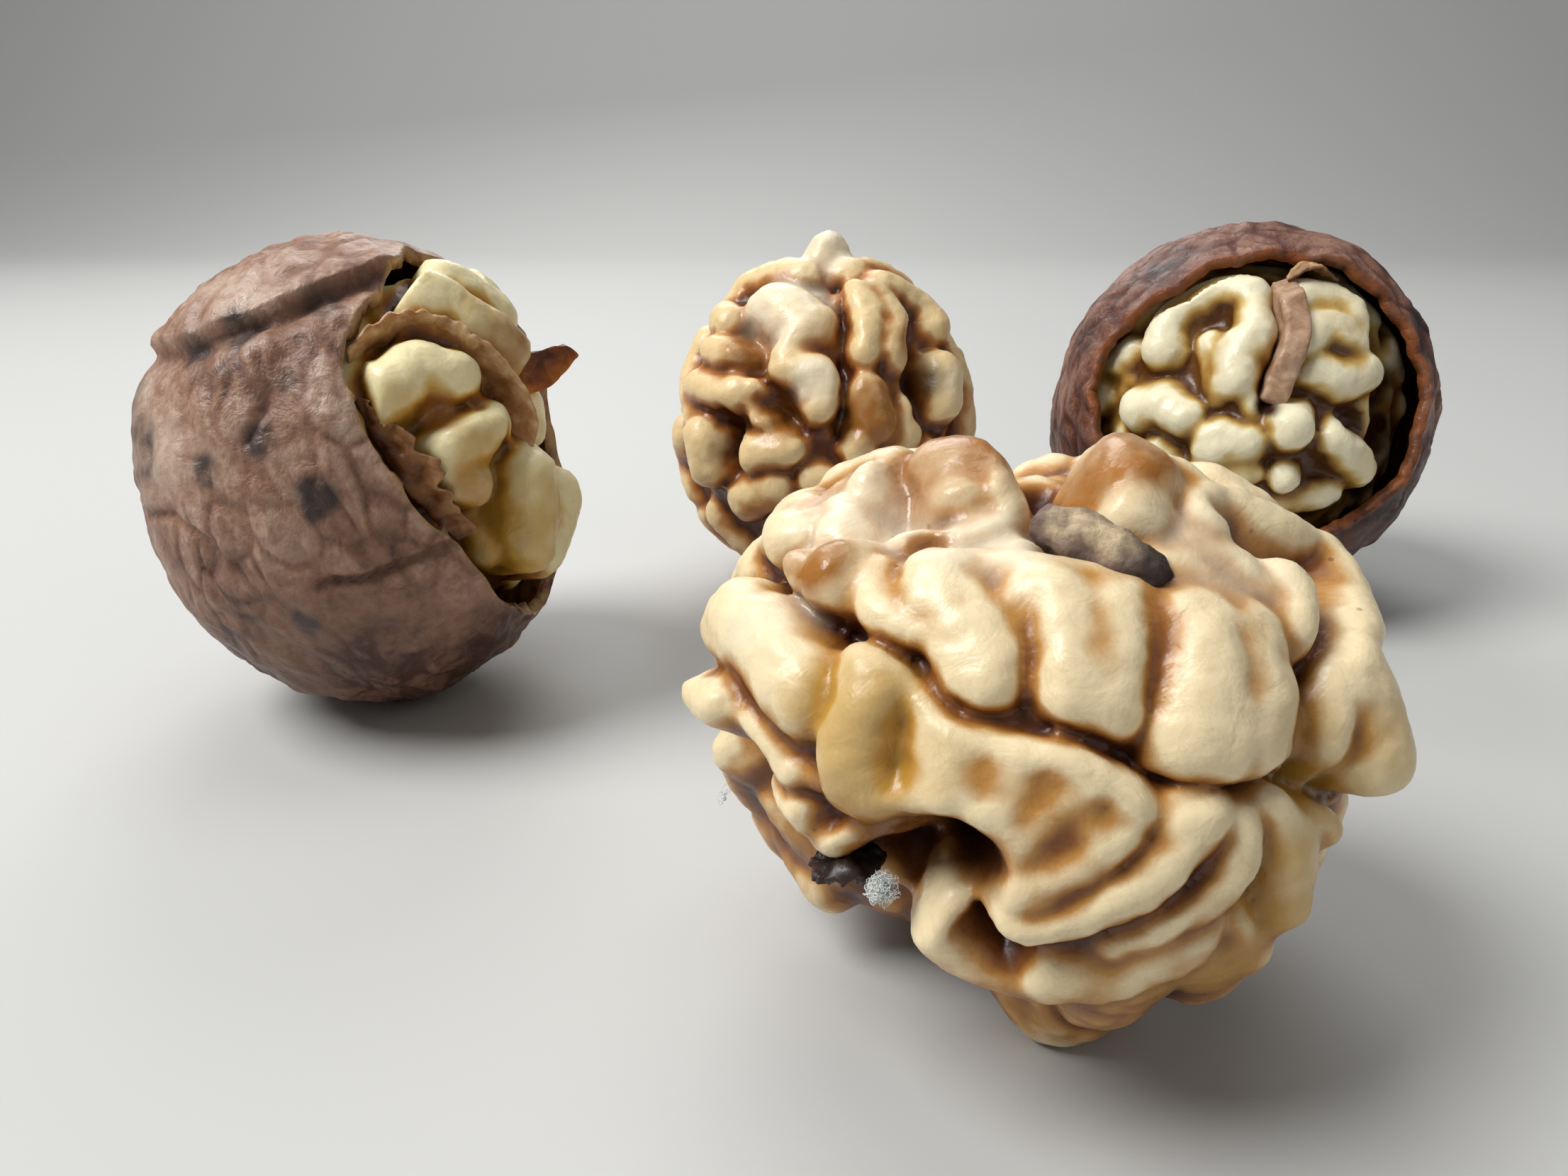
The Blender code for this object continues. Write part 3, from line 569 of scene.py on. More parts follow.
frontSeam = ((-96, 36), (-84, 38), (-69, 39), (-53, 38), (-44, 37), (-34, 36), (-26, 32), (-19, 29),
             (-11, 27), (-5, 26), (0, 25), (5, 22), (11, 19), (17, 18), (24, 18), (32, 13), (42, 8),
             (56, 6))
frontKernel = {
    "name": "frontKernelBody", "node": "front_kernel", "slot": "bare_kernel",
    "coreDepth": 2.4, "seed": 1, "blend": 0.35,
    "skin": kernelSkin("frontKernelSkin", "ecd8ae", "be8a48", "865020", "4a2410", "a9783f"),
    "folds": [
        # upper half: wide smooth top
        (3.6, 0.0, ((30, 60), (36, 50), (36, 42))),
        (2.8, 0.0, ((20, 54), (24, 45))),
        (3.0, -1.2, ((0, 58), (8, 66), (-10, 72))),
        (2.4, -1.2, ((-34, 55), (-20, 60))),
        (2.4, 0.2, ((-26, 51), (-6, 51), (8, 49))),
        (2.6, 0.5, ((-4, 43), (10, 42), (24, 40))),
        # upper half: lobes that hang over the seam, left to right
        (1.4, 0.7, ((-46, 46), (-40, 43), (-34, 40))),
        (2.6, 1.1, ((-30, 48), (-24, 42), (-19, 36))),
        (2.6, 1.2, ((-9, 46), (-6, 40), (-4, 34))),
        (2.2, 1.0, ((2, 46), (3, 38), (1, 32))),
        (2.9, 1.4, ((16, 40), (14, 32), (13, 27))),
        (2.6, 1.1, ((25, 38), (23, 31), (21, 26))),
        (2.0, 0.6, ((46, 46), (38, 38))),
        # upper half: outer ridge on the right
        (1.7, 0.7, ((62, 60), (72, 52), (78, 44))),
        (1.7, 0.9, ((80, 44), (70, 38), (60, 34), (48, 31))),
        (2.4, 1.2, ((47, 30), (49, 22), (48, 15))),
        (2.0, 0.3, ((40, 27), (37, 21))),
        (2.2, 0.0, ((92, 56), (94, 40), (84, 26))),
        # upper half: brown and cream lobes at the top, from right to left
        (2.9, 1.5, ((16, 77), (34, 77), (36, 73))),
        (2.6, 1.1, ((20, 72), (20, 67))),
        (1.4, 0.8, ((62, 70), (53, 65), (45, 61))),
        (2.6, 1.0, ((-85, 74), (-66, 76))),
        (2.2, 0.3, ((-58, 71), (-50, 70))),
        (1.4, 0.7, ((-50, 80), (-30, 73))),
        (2.2, 0.9, ((-112, 56), (-104, 64))),
        (1.2, 0.9, ((-88, 61),)),
        (2.2, 0.9, ((-106, 46), (-86, 46))),
        (1.6, 0.3, ((-84, 54), (-72, 52))),
        (1.6, 1.5, ((-55, 45),)),
        (0.8, 0.8, ((-68, 43), (-63, 43))),
        (1.1, -0.7, ((-52, 55), (-40, 60), (-30, 65))),
        (1.3, -0.7, ((-36, 54), (-24, 56), (-17, 59))),
        # lower half: the thumb, the yellow lobe and the edge under the seam
        (2.7, 1.4, ((-75, 30), (-60, 30), (-47, 25))),
        (2.3, 1.2, ((-35, 30), (-36, 23), (-35, 16))),
        (1.5, 0.7, ((-33, 13), (-27, 12))),
        (1.6, 0.8, ((-27, 30), (-16, 26), (-7, 23), (2, 19))),
        (2.4, 0.8, ((-22, 25), (-21, 18), (-23, 12))),
        (2.5, 0.7, ((-13, 23), (-13, 17), (-17, 11))),
        (3.4, 0.35, ((-20, 19), (-11, 18), (-3, 14), (3, 10))),
        # lower half: curved folds that sweep down to the left
        (2.2, 0.7, ((-3, 20), (-7, 14), (-13, 8))),
        (1.3, 0.7, ((3, 16), (-2, 9), (-8, 3), (-13, 1))),
        (1.9, 0.9, ((11, 13), (5, 5), (-3, -1), (-10, -3))),
        (2.2, 0.7, ((18, 8), (11, -2), (4, -8))),
        (2.2, 0.3, ((25, 13), (28, 3), (29, -8))),
        (1.4, -0.3, ((34, 10), (37, 4))),
        (2.7, 0.5, ((12, -10), (3, -16), (-4, -19))),
        (2.4, 0.0, ((22, -12), (28, -22))),
        (1.6, -0.1, ((-22, -7), (-21, -16), (-14, -23), (-6, -26))),
        (1.0, -0.7, ((-16, -4), (-9, -8), (-4, -14))),
        # lower half: thin buds and ledges of the raised left side
        (1.2, 1.3, ((-76, 11), (-66, 15))),
        (0.9, 0.0, ((-60, 16), (-53, 14), (-48, 10))),
        (1.0, -0.6, ((-54, 8), (-46, 11), (-41, 12))),
        (1.3, 0.1, ((-54, 2), (-47, 2))),
        (0.9, -0.8, ((-50, -4), (-42, -2), (-37, 1))),
        (1.2, -1.2, ((-35, 4), (-31, 2), (-26, 0))),
        # underside
        (3.7, 0.0, ((8, -24), (10, -40), (16, -52))),
        (5.0, 1.4, ((10, -65), (32, -69))),
        (3.0, 0.9, ((150, -70), (200, -80))),
        (3.0, 0.0, ((19, -18), (30, -34), (44, -50))),
        (2.6, -1.8, ((52, 2), (46, -14), (56, -30))),
        (2.4, -2.6, ((72, 6), (74, -12), (78, -30))),
    ],
    "creases": [
        (2.5, 1.5, frontSeam),
        (1.4, 0.6, frontSeam),
        (0.9, 1.5, ((-46, 34), (-42, 27), (-43, 18))),
        (2.2, 1.5, ((48, 60), (53, 51), (52, 43), (46, 36), (37, 31))),
        (1.6, 1.4, ((37, 31), (34, 23), (32, 15))),
        (0.7, 1.4, ((-14, 46), (-12, 38), (-11, 31))),
        (0.9, 1.5, ((10, 42), (7, 34), (5, 26))),
        (0.7, 1.4, ((-29, 28), (-29, 22), (-28, 16))),
        (0.4, 1.1, ((-5, 14), (-8, 9), (-13, 5))),
        (0.7, 1.0, ((6, 12), (1, 7), (-5, 1), (-12, -1))),
        (0.8, 1.1, ((14, 10), (8, 1), (1, -5), (-7, -7))),
        (0.5, 1.2, ((20, -2), (12, -7), (2, -11))),
        (1.2, 1.6, ((21, 12), (23, 2), (24, -9))),
    ],
    "dents": [
        (3.6, 3.0, ((-40, 86), (-8, 80), (-8, 72))),
        (1.2, 1.0, ((-43, 56),)),
        (4.0, 2.6, ((-19, 5),)),
        (4.0, 3.4, ((-22, 3), (-30, -5))),
        (2.2, 1.8, ((-16, -10), (-12, -15))),
        (3.0, 6.0, ((-94, 2), (-82, -6))),
        (5.0, 9.0, ((-66, -14), (-52, -32), (-34, -46))),
        (3.0, 7.0, ((84, -4), (86, -30))),
    ],
    "lip": {"places": frontSeam, "reach": 3.2, "over": 0.7, "under": 0.1, "fade": 1.2, "lowest": -1.2,
            "rise": 1.8},
    "hiddenRows": {"first": 104, "last": 258, "count": 9, "high": 66, "low": -62, "radius": 2.6,
                   "lift": 0.2, "seed": 48},
    "spots": {
        "amber": ((24, 74, 10, 0.75), (-70, 74, 12, 0.7), (-57, 45, 6, 0.9), (-66, 43, 4, 0.7),
                  (-43, 56, 4, 0.7), (-46, 80, 8, 0.5), (-30, 3, 8, 0.5), (-112, 66, 10, 0.3)),
        "yellow": ((-37, 25, 9, 1.0), (-33, 15, 8, 0.8), (-24, 20, 6, 0.4), (30, -2, 13, 0.8),
                   (34, 10, 8, 0.8), (50, 16, 10, 0.5), (30, 24, 8, 0.5), (18, -20, 9, 0.7),
                   (0, -20, 8, 0.4)),
        # dark spots: painted shade inside the deep dents
        "dark": ((-20, 3, 6, 0.9), (-30, -5, 5, 0.6)),
        "pale": ((-70, 56, 14, 0.5), (-28, 58, 10, 0.6), (34, 54, 12, 0.4), (-62, 33, 8, 0.4)),
        "speckled": ((-95, 54, 22, 1.0), (66, 45, 14, 0.7), (-76, 12, 10, 0.6)),
    },
}
makeKernel("front", frontKernel)

backKernel = {
    "name": "backKernelBody", "node": "back_kernel", "slot": "bare_kernel",
    # underside strength: how much painted shade the faces that look down get
    "coreDepth": 2.3, "seed": 4, "voxel": 0.34, "underside": 0.55,
    "skin": kernelSkin("backKernelSkin", "e6cb98", "bd854a", "955a26", "4e240c", "a06c38"),
    "creases": [(2.6, 1.5, ((12, 66), (10, 47), (7, 25), (6, 6))), (1.2, 0.6, ((10, 47), (7, 25), (6, 6)))],
    "dents": [
        (1.8, 2.0, ((-24, 15), (-12, 10))),
        (2.2, 2.4, ((46, 37), (44, 24), (40, 12))),
        (2.2, 2.0, ((-41, 8), (-38, -8))),
        (1.2, 2.0, ((-40, 40), (-32, 30))),
    ],
    "folds": [
        (1.6, 2.2, ((0, 84), (10, 86))),
        (4.2, 0.3, ((-38, 54), (-24, 52), (-12, 46))),
        (2.0, 0.1, ((-12, 42), (-18, 33))),
        (2.5, 0.3, ((-16, 29), (-6, 26), (-2, 17))),
        (2.0, 0.4, ((-72, 44), (-60, 43))),
        (1.9, 0.2, ((-60, 31), (-42, 31))),
        (2.3, 0.4, ((-62, 18), (-38, 18))),
        (2.8, 0.9, ((-54, 2), (-52, -9))),
        (1.5, -0.3, ((-30, 20), (-25, 10))),
        (2.4, 0.1, ((-29, -2), (-16, 1))),
        (2.7, 0.0, ((-36, -21), (-20, -13))),
        (2.4, 0.3, ((20, 58), (24, 48), (17, 35))),
        (2.7, 0.1, ((16, 20), (20, 10))),
        (2.1, 0.0, ((13, 2), (16, -6))),
        (2.6, 0.5, ((50, 62), (74, 50), (72, 40))),
        (2.4, 0.2, ((36, 58), (38, 45), (32, 34))),
        (2.4, 0.6, ((59, 24), (55, 12))),
        (2.2, -0.3, ((36, 12), (30, 0))),
        (2.4, 0.2, ((78, 26), (82, 6), (74, -16))),
        (2.6, 0.0, ((-4, -10), (2, -30), (-6, -50))),
        (2.6, 0.0, ((18, -12), (26, -34), (24, -54))),
        (2.4, 0.0, ((44, -6), (50, -30), (44, -50))),
        (2.6, 0.3, ((-30, 74), (-80, 68), (-100, 56))),
        (2.6, 0.3, ((34, 74), (80, 70), (100, 58))),
        (2.4, -0.2, ((-66, -34), (-40, -54), (0, -66))),
        (3.2, 0.25, ((20, -76), (-20, -88), (160, -78))),
    ],
    "hiddenRows": {"first": 98, "last": 272, "count": 8, "high": 68, "low": -66, "radius": 2.9,
                   "lift": 0.0, "seed": 49},
    "spots": {
        "amber": ((-38, 36, 9, 0.7), (18, 14, 12, 0.8), (40, 34, 9, 0.6), (4, 42, 6, 0.4), (-20, 10, 9, 0.5)),
        # dark spots: painted shade inside the dents and the seam
        "dark": ((44, 24, 8, 0.6), (-40, -1, 6, 0.6), (6, 14, 3, 0.7)),
        "pale": ((-26, 52, 17, 0.7), (-5, 24, 8, 0.7), (5, 84, 12, 0.7), (57, 18, 7, 0.5)),
    },
}
makeKernel("back", backKernel)

leftMouth = {
    "middle": (77, 18),
    "rim": ((54, 64), (29, 52), (19, 43), (17, 35), (20, 23), (24, 13), (32, 1), (40, -6),
            (48, -16), (69, -33), (92, -40), (112, -28), (124, -8), (129, 14), (127, 36),
            (118, 56), (84, 72)),
}
leftKernel = {
    "name": "leftKernelBody", "node": "left_kernel", "slot": "fresh_kernel",
    # underside strength: how much painted shade the faces that look down get
    "coreDepth": 4.4, "seed": 7, "underside": 0.5, "voxel": 0.34, "mouth": leftMouth, "clearance": 2.0,
    "skin": kernelSkin("leftKernelSkin", "efe2b2", "d4ac58", "a06418", "54300f", "b58f45"),
    "creases": [
        (1.5, 1.5, ((27, 23), (40, 22), (54, 25))),
        (1.8, 1.4, ((36, 10), (41, 0), (51, -1), (59, 8), (62, 18))),
        (2.6, 1.8, ((60, 12), (55, 3), (55, -8), (58, -20))),
        (0.5, 1.5, ((38, 40), (40, 30))),
        (0.5, 1.3, ((69, 5), (69, -8))),
    ],
    "dents": [],
    "folds": [
        (2.5, 1.5, ((54, 54), (61, 50))),
        (2.2, 1.4, ((66, 45), (73, 40))),
        (1.8, 1.0, ((79, 36),)),
        (3.0, 0.8, ((78, 58), (94, 46))),
        (2.7, 0.5, ((30, 32), (40, 35), (50, 32))),
        (2.2, -0.3, ((25, 34), (26, 27))),
        (2.8, 0.6, ((46, 17), (56, 19))),
        (2.2, -0.5, ((43, 10), (49, 6))),
        (2.5, 1.4, ((66, 5), (67, -4), (64, -12))),
        (3.0, -1.6, ((92, 14), (104, 22), (108, 36))),
        (3.0, 0.4, ((96, -8), (82, -20))),
        (2.6, 0.6, ((104, 52), (112, 44))),
    ],
    "hiddenRows": {"first": 118, "last": 380, "count": 9, "high": 70, "low": -70, "radius": 3.2,
                   "lift": -2.3, "seed": 50},
    "spots": {
        "amber": ((72, 36, 8, 0.6), (42, 24, 5, 0.6), (46, 6, 7, 0.5)),
        "yellow": ((50, 10, 10, 0.9), (62, -8, 14, 0.9), (68, 42, 9, 0.6), (30, 26, 6, 0.5)),
    },
}
makeKernel("left", leftKernel)

rightMouth = {
    "middle": (-14, 20),
    "rim": ((-53, 47), (-43, 56), (-20, 62), (8, 60), (33, 53), (43, 40), (47, 30), (48, 16),
            (45, 3), (38, -10), (24, -22), (0, -26), (-25, -24), (-46, -17), (-62, -6),
            (-70, 8), (-72, 22), (-64, 37)),
}
rightKernel = {
    "name": "rightKernelBody", "node": "right_kernel", "slot": "fresh_kernel",
    "coreDepth": 3.7, "seed": 10, "voxel": 0.34, "mouth": rightMouth, "clearance": 2.0,
    "skin": kernelSkin("rightKernelSkin", "efe6c4", "d0b470", "a67c38", "54300f", "a98c50"),
    "creases": [(2.2, 1.6, ((-9, 50), (-8, 36), (-9, 24), (-12, 14)))],
    "dents": [(2.5, 5.0, ((44, 36), (46, 18), (46, 0), (40, -14))), (1.8, 2.6, ((20, 10), (26, 6)))],
    "folds": [
        (2.5, -0.9, ((-53, 29), (-55, 39), (-48, 48), (-35, 53), (-22, 51))),
        (2.6, -0.9, ((-20, 51), (-18, 38), (-23, 30), (-24, 22))),
        (2.0, -2.3, ((-34, 34), (-31, 26), (-28, 16))),
        (2.9, -0.8, ((-54, 8), (-45, 10), (-39, 8))),
        (2.9, -0.8, ((-27, 1), (-18, 1))),
        (2.2, -1.4, ((-28, -8), (-16, -8))),
        (1.5, -2.0, ((-20, 18), (-17, 12))),
        (2.7, -0.3, ((-4, 7),)),
        (1.9, -1.2, ((-3, -10),)),
        (2.9, -1.0, ((6, 52), (22, 49), (29, 42))),
        (2.8, -1.2, ((4, 35), (11, 39), (22, 35))),
        (2.6, -1.5, ((6, 24), (18, 22), (28, 25))),
        (2.2, -1.2, ((12, 3), (20, -3), (30, -10))),
        (2.2, -2.2, ((-46, -4), (-36, -14))),
        (2.2, -2.2, ((-16, -18), (2, -20), (18, -16))),
    ],
    "hiddenRows": {"first": 68, "last": 290, "count": 8, "high": 66, "low": -70, "radius": 3.4,
                   "lift": -2.6, "seed": 49},
    "spots": {
        # dark spots: painted shade in the gap along the shell and in small dents
        "dark": ((46, 34, 8, 0.8), (50, 18, 10, 0.9), (50, 0, 10, 0.9), (44, -16, 10, 0.9),
                 (22, 9, 5, 0.7), (-12, 14, 4, 0.8), (-40, -14, 8, 0.6)),
        "amber": ((-34, 26, 8, 0.3), (22, 20, 8, 0.3)),
        "yellow": ((16, 40, 12, 0.35), (24, -4, 8, 0.4)),
    },
}
makeKernel("right", rightKernel)


# Shells: a round wall with furrows, broken open at the mouth


def shellSkin(name, light, mid, dark, edge):
    skin = Finish(name, IOR=1.45)
    broad = skin.grain(7.0, 3.0)
    fleck = skin.grain(0.7, 4.0, 0.65)
    # painted shade: furrows and cracks are darkened, and the dip under the suture ledge as a painted shadow
    tone = broad * 0.6 + fleck * 0.36 + 0.12 - skin.mark("groove") * 0.26 - skin.mark("under") * 0.26
    # painted shade: the lower part of the shell comes out darker, through the under mark in the tone above
    base = skin.ramp(tone, (0.22, dark), (0.48, mid), (0.72, light))
    base = skin.mix(skin.mark("blotch") * 0.85, base, "1f1c20")
    inner = skin.mix(skin.grain(1.4, 4.0), "4a2512", "8a5a34")
    base = skin.mix(skin.mark("inner"), base, inner)
    base = skin.mix(skin.mark("edge") * skin.band(skin.grain(1.5), 0.3, 0.6), base, edge)
    rough = skin.band(fleck, 0.3, 0.7, 0.3, 0.52) + skin.mark("groove") * 0.15
    fine = skin.bump(skin.grain(0.3, 3.0), 0.04)
    normal = skin.bump(skin.grain(1.4, 4.0, 0.6, 0.5), 0.26, fine)
    return skin.give(Base_Color=base, Roughness=rough, Normal=normal)


shellGrid = {
    "sectors": 360, "rings": 170, "capAngle": 30, "wall": 1.1,
    "netWarp": 0.5, "netWarpScale": 0.8, "netWidth": 0.3, "netFade": 1.5,  # furrow net
    "fineNet": 2.3, "fineShare": 0.4, "patchSize": 0.5,
    "dent": 0.45, "dentSize": 0.4, "lump": 0.3, "lumpSize": 0.2,
    "ledgeWander": 0.35, "ledgeSoft": 1.4, "dipWidth": 1.3, "dipTop": 0.3,  # along the suture, mm
    "ledgeStart": 35, "ledgeEnd": 15,  # degrees over which it comes and goes
    # the last two values set where the painted shade on the lower part of the shell begins and how far it
    # spreads
    "chipSize": 0.5, "blotchSize": 2, "undersideShadeFrom": 0.15, "undersideShadeSpan": 0.8,
}


netShifts = ((9.3, -1.5, -8), (0, 0, 0), (6.3, 0.2, -2.7))  # one noise apart for each axis


def creaseNet(places, size, seed):  # 1 along the borders of irregular cells, 0 inside them
    shift = Vector((seed, -seed, 2 * seed))
    depth = []
    for p in places.tolist():
        spot = Vector(p) / size + shift
        sway = [noise.noise(spot * shellGrid["netWarpScale"] + Vector(step)) for step in netShifts]
        spot += Vector(sway) * shellGrid["netWarp"]
        near = noise.voronoi(spot)[0]
        depth.append(near[1] - near[0])
    return np.clip(1 - np.array(depth) / shellGrid["netWidth"], 0, 1) ** shellGrid["netFade"]


def sutureLedge(nut, ways, settings):  # height of the ledge along the suture in mm, and its dip, which the skin darkens as a painted shadow under the ledge
    lons, lats = anglesOf(ways)
    path = settings["suture"]
    above = lats - latAt(lons, path)
    above = above * math.radians(nuts[nut][1][0]) + shellGrid["ledgeWander"] * noiseAt(ways, 0.2, 6)
    share = np.clip((lons - path[0][0]) / shellGrid["ledgeStart"], 0, 1)
    share = share * np.clip((path[-1][0] - lons) / shellGrid["ledgeEnd"], 0, 1)
    step = eased(np.clip(above / shellGrid["ledgeSoft"] + 0.5, 0, 1))
    step = step * np.exp(-np.maximum(above, 0) / settings["ledgeFade"])
    dip = np.exp(-(np.minimum(above, 0) / shellGrid["dipWidth"]) ** 2) * (above < shellGrid["dipTop"])
    return share * (settings["ledge"] * step - settings["ledgeDip"] * dip), dip * share


def shellRelief(nut, ways, axis, settings):  # height above the ellipsoid in mm, and the groove share, which the skin darkens as painted shade
    grid = shellGrid
    along = ways @ axis
    stretched = ways + np.outer(along, axis) * (settings["stretch"] - 1)
    seed, cell = settings["seed"], settings["cell"]
    dents = noiseAt(stretched, grid["dentSize"], seed, 3)
    mask = np.clip(0.75 + 1.4 * noiseAt(ways, grid["patchSize"], seed + 2, 1), 0, 1)
    groove = creaseNet(stretched, cell, seed) * mask
    fineGroove = creaseNet(stretched, cell / grid["fineNet"], seed + 5)
    groove = np.maximum(groove, grid["fineShare"] * fineGroove * mask)
    lumps = noiseAt(stretched, grid["lumpSize"], seed + 3, 3)
    height = grid["dent"] * dents - settings["furrow"] * groove + grid["lump"] * lumps
    if "suture" in settings:
        ledge, dip = sutureLedge(nut, ways, settings)
        height += ledge
        # painted shadow: the dip under the ledge joins the groove mark and comes out dark
        groove = np.maximum(groove, dip)
    for depth, width, places in settings["cracks"]:
        away = distanceTo(lineOf(nut, places), ways * np.array(nuts[nut][1]))
        cut = np.clip(1 - away / width, 0, 1)
        height -= depth * cut
        groove = np.maximum(groove, cut)
    return height, groove


def openSphere():  # a ball without its top cap
    segments, rings = shellGrid["sectors"], shellGrid["rings"]
    bpy.ops.mesh.primitive_uv_sphere_add(segments=segments, ring_count=rings, radius=1.0)
    shell = bpy.context.object
    deselectMesh()
    polar = np.arccos(np.clip(pointsOf(shell)[:, 2], -1, 1))
    shell.data.vertices.foreach_set("select", polar < math.radians(shellGrid["capAngle"]))
    bpy.ops.object.mode_set(mode="EDIT")
    bpy.ops.mesh.delete(type="VERT")
    bpy.ops.object.mode_set(mode="OBJECT")
    return shell


def makeShell(nut, settings):  # the open edge of the ball is moved to the rim of the mouth
    axis, side, up, turns, angles = rimOf(settings["mouth"])
    shell = openSphere()
    points = pointsOf(shell)
    polar = np.arccos(np.clip(points[:, 2], -1, 1))
    turn = np.arctan2(points[:, 1], points[:, 0])
    share = (polar - polar.min()) / (math.pi - polar.min())
    ring = np.stack([np.cos(turn), np.sin(turn), np.zeros_like(turn)], 1)
    chips = noiseAt(ring, shellGrid["chipSize"], settings["seed"] + 5, 3) * math.radians(settings["chips"])
    edge = rimAngle(turn, turns, angles) + chips
    angle = edge + (math.pi - edge) * share
    ways = np.outer(np.cos(angle), axis)
    ways += np.sin(angle)[:, None] * (np.outer(np.cos(turn), side) + np.outer(np.sin(turn), up))
    height, groove = shellRelief(nut, ways, axis, settings)
    fromRim = np.degrees(angle - edge)
    centre, half = (np.array(x) for x in nuts[nut])
    outer = (centre + (half + height[:, None]) * ways) * mm
    flatOnTable(outer)
    setPoints(shell, outer)
    # painted shade: this mark darkens furrows, cracks and the dip under the ledge
    keepMark(shell, "groove", groove)
    keepMark(shell, "edge", 1 - fromRim / settings["edgeWidth"])
    stains = 1 + noiseAt(outer, shellGrid["blotchSize"] * mm, 8)
    keepMark(shell, "blotch", spotMask(ways, settings["blotches"]) * stains)
    keepMark(shell, "inner", np.zeros(len(points)))
    # painted shade: darker towards the bottom of the shell
    keepMark(shell, "under", (shellGrid["undersideShadeFrom"] - ways[:, 2]) / shellGrid["undersideShadeSpan"])
    applyModifier(shell, "SOLIDIFY", thickness=shellGrid["wall"] * mm, offset=-1.0)
    inner = np.zeros(len(shell.data.vertices))
    inner[len(points):] = 1.0
    shell.data.attributes["inner"].data.foreach_set("value", inner.astype(np.float32))
    finishPiece(shell, settings["name"], [settings["node"]], settings["skin"])


print("stage: shells")

leftShell = {
    "name": "leftShellWall", "node": "left_shell", "mouth": leftMouth,
    "skin": shellSkin("leftShellSkin", "baa08c", "8c6752", "482a1e", "b08d60"),
    "stretch": 1.7, "seed": 11, "chips": 1.4, "edgeWidth": 1.0,
    "cell": 0.26, "furrow": 0.2, "ledge": 0.75, "ledgeFade": 8.0, "ledgeDip": 0.8,
    "suture": ((-90, 30), (-70, 34), (-42, 38), (-22, 43), (-8, 49), (10, 55), (24, 58), (60, 64)),
    "cracks": (
        (0.7, 0.7, ((40, -5), (28, -7), (17, -10), (6, -11))),
        (0.4, 0.6, ((-20, -2), (-34, 2), (-48, 0))),
        (0.4, 0.5, ((-6, 38), (-3, 28), (-8, 20))),
    ),
    "blotches": ((-5, 20, 4, 0.8), (-19, 13, 4, 0.8), (8, 8, 5, 0.9), (0, -21, 4, 0.8), (-48, 14, 10, 0.6),
                 (-14, 44, 5, 0.7), (-32, 39, 5, 0.6), (2, 33, 3, 0.7), (-62, 22, 9, 0.6), (12, 52, 5, 0.6)),
}
makeShell("left", leftShell)

rightShell = {
    "name": "rightShellWall", "node": "right_shell", "mouth": rightMouth,
    "skin": shellSkin("rightShellSkin", "96705e", "62392a", "2e150f", "8a4e26"),
    "stretch": 1.6, "seed": 23, "chips": 1.6, "edgeWidth": 1.6,
    "cell": 0.28, "furrow": 0.16, "cracks": ((0.5, 0.6, ((60, 20), (72, 26), (86, 22))),),
    "blotches": ((60, 28, 10, 0.7), (-72, 55, 9, 0.6), (-86, 24, 8, 0.5), (70, 50, 8, 0.5)),
}
makeShell("right", rightShell)


# Thin pieces: a grid laid along a line of places, from one lift to another


sheetGrid = {"step": 0.4, "raggedSize": 1.2, "tornSize": 2.6, "roundSmoothing": 24, "roundTip": 0.9}


def makeSheet(nut, settings):
    across, along = settings["grid"]
    bpy.ops.mesh.primitive_grid_add(x_subdivisions=along, y_subdivisions=across, size=2.0)
    sheet = bpy.context.object
    points = pointsOf(sheet)
    u = (points[:, 0] + 1) / 2
    v = (points[:, 1] + 1) / 2

    def edgeAt(places):  # the point at share u of a line of places, for each point of the grid
        line = curveThrough([place(nut, *spot) for spot in places], sheetGrid["step"] * mm)
        line = np.array([tuple(point) for point in line])
        spots = np.linspace(0, 1, len(line))
        return np.stack([np.interp(u, spots, line[:, k]) for k in range(3)], 1)

    strip = np.stack([u * settings["length"], v * 0, v * 0], 1)
    ragged = noiseAt(strip, sheetGrid["raggedSize"], settings["seed"], 3)
    torn = noiseAt(strip, sheetGrid["tornSize"], settings["seed"] + 2, 2)
    reach = v * (1 + settings.get("torn", 0) * torn)
    points = edgeAt(settings["low"]) * (1 - reach)[:, None] + edgeAt(settings["high"]) * reach[:, None]
    start = settings["high"][0][:2]
    out = np.array(place(nut, *start, 1.0) - place(nut, *start, 0.0))
    out /= np.linalg.norm(out)
    points += out * (ragged * v * settings["ragged"] * mm)[:, None]
    setPoints(sheet, points)
    normals = normalsOf(sheet)
    folds = noiseAt(points, settings["creaseSize"] * mm, settings["seed"] + 1, 3)
    points += normals * (folds * settings["crease"] * mm)[:, None]
    setPoints(sheet, points)
    keepMark(sheet, "tip", v)
    applyModifier(sheet, "SOLIDIFY", thickness=settings["wall"] * mm, offset=0.0)
    if "round" in settings:
        applyModifier(sheet, "REMESH", mode="VOXEL", voxel_size=settings["round"] * mm)
        applyModifier(sheet, "SMOOTH", factor=0.5, iterations=sheetGrid["roundSmoothing"])
        keepMark(sheet, "tip", np.full(len(sheet.data.vertices), sheetGrid["roundTip"]))
    finishPiece(sheet, settings["name"], settings["nodes"], settings["skin"])


def paperSkin(name, light, mid, dark):
    skin = Finish(name, IOR=1.45, Subsurface_Weight=0.1, Subsurface_Scale=0.001)
    tone = skin.grain(1.6, 4.0, 0.6, 0.5) * 0.8 + skin.mark("tip") * 0.3 - 0.1
    base = skin.ramp(tone, (0.25, dark), (0.5, mid), (0.75, light))
    rough = skin.band(skin.grain(0.8), 0.3, 0.7, 0.35, 0.6)
    normal = skin.bump(skin.grain(0.6, 4.0), 0.06)
    return skin.give(Base_Color=base, Roughness=rough, Normal=normal)


print("stage: thin pieces")

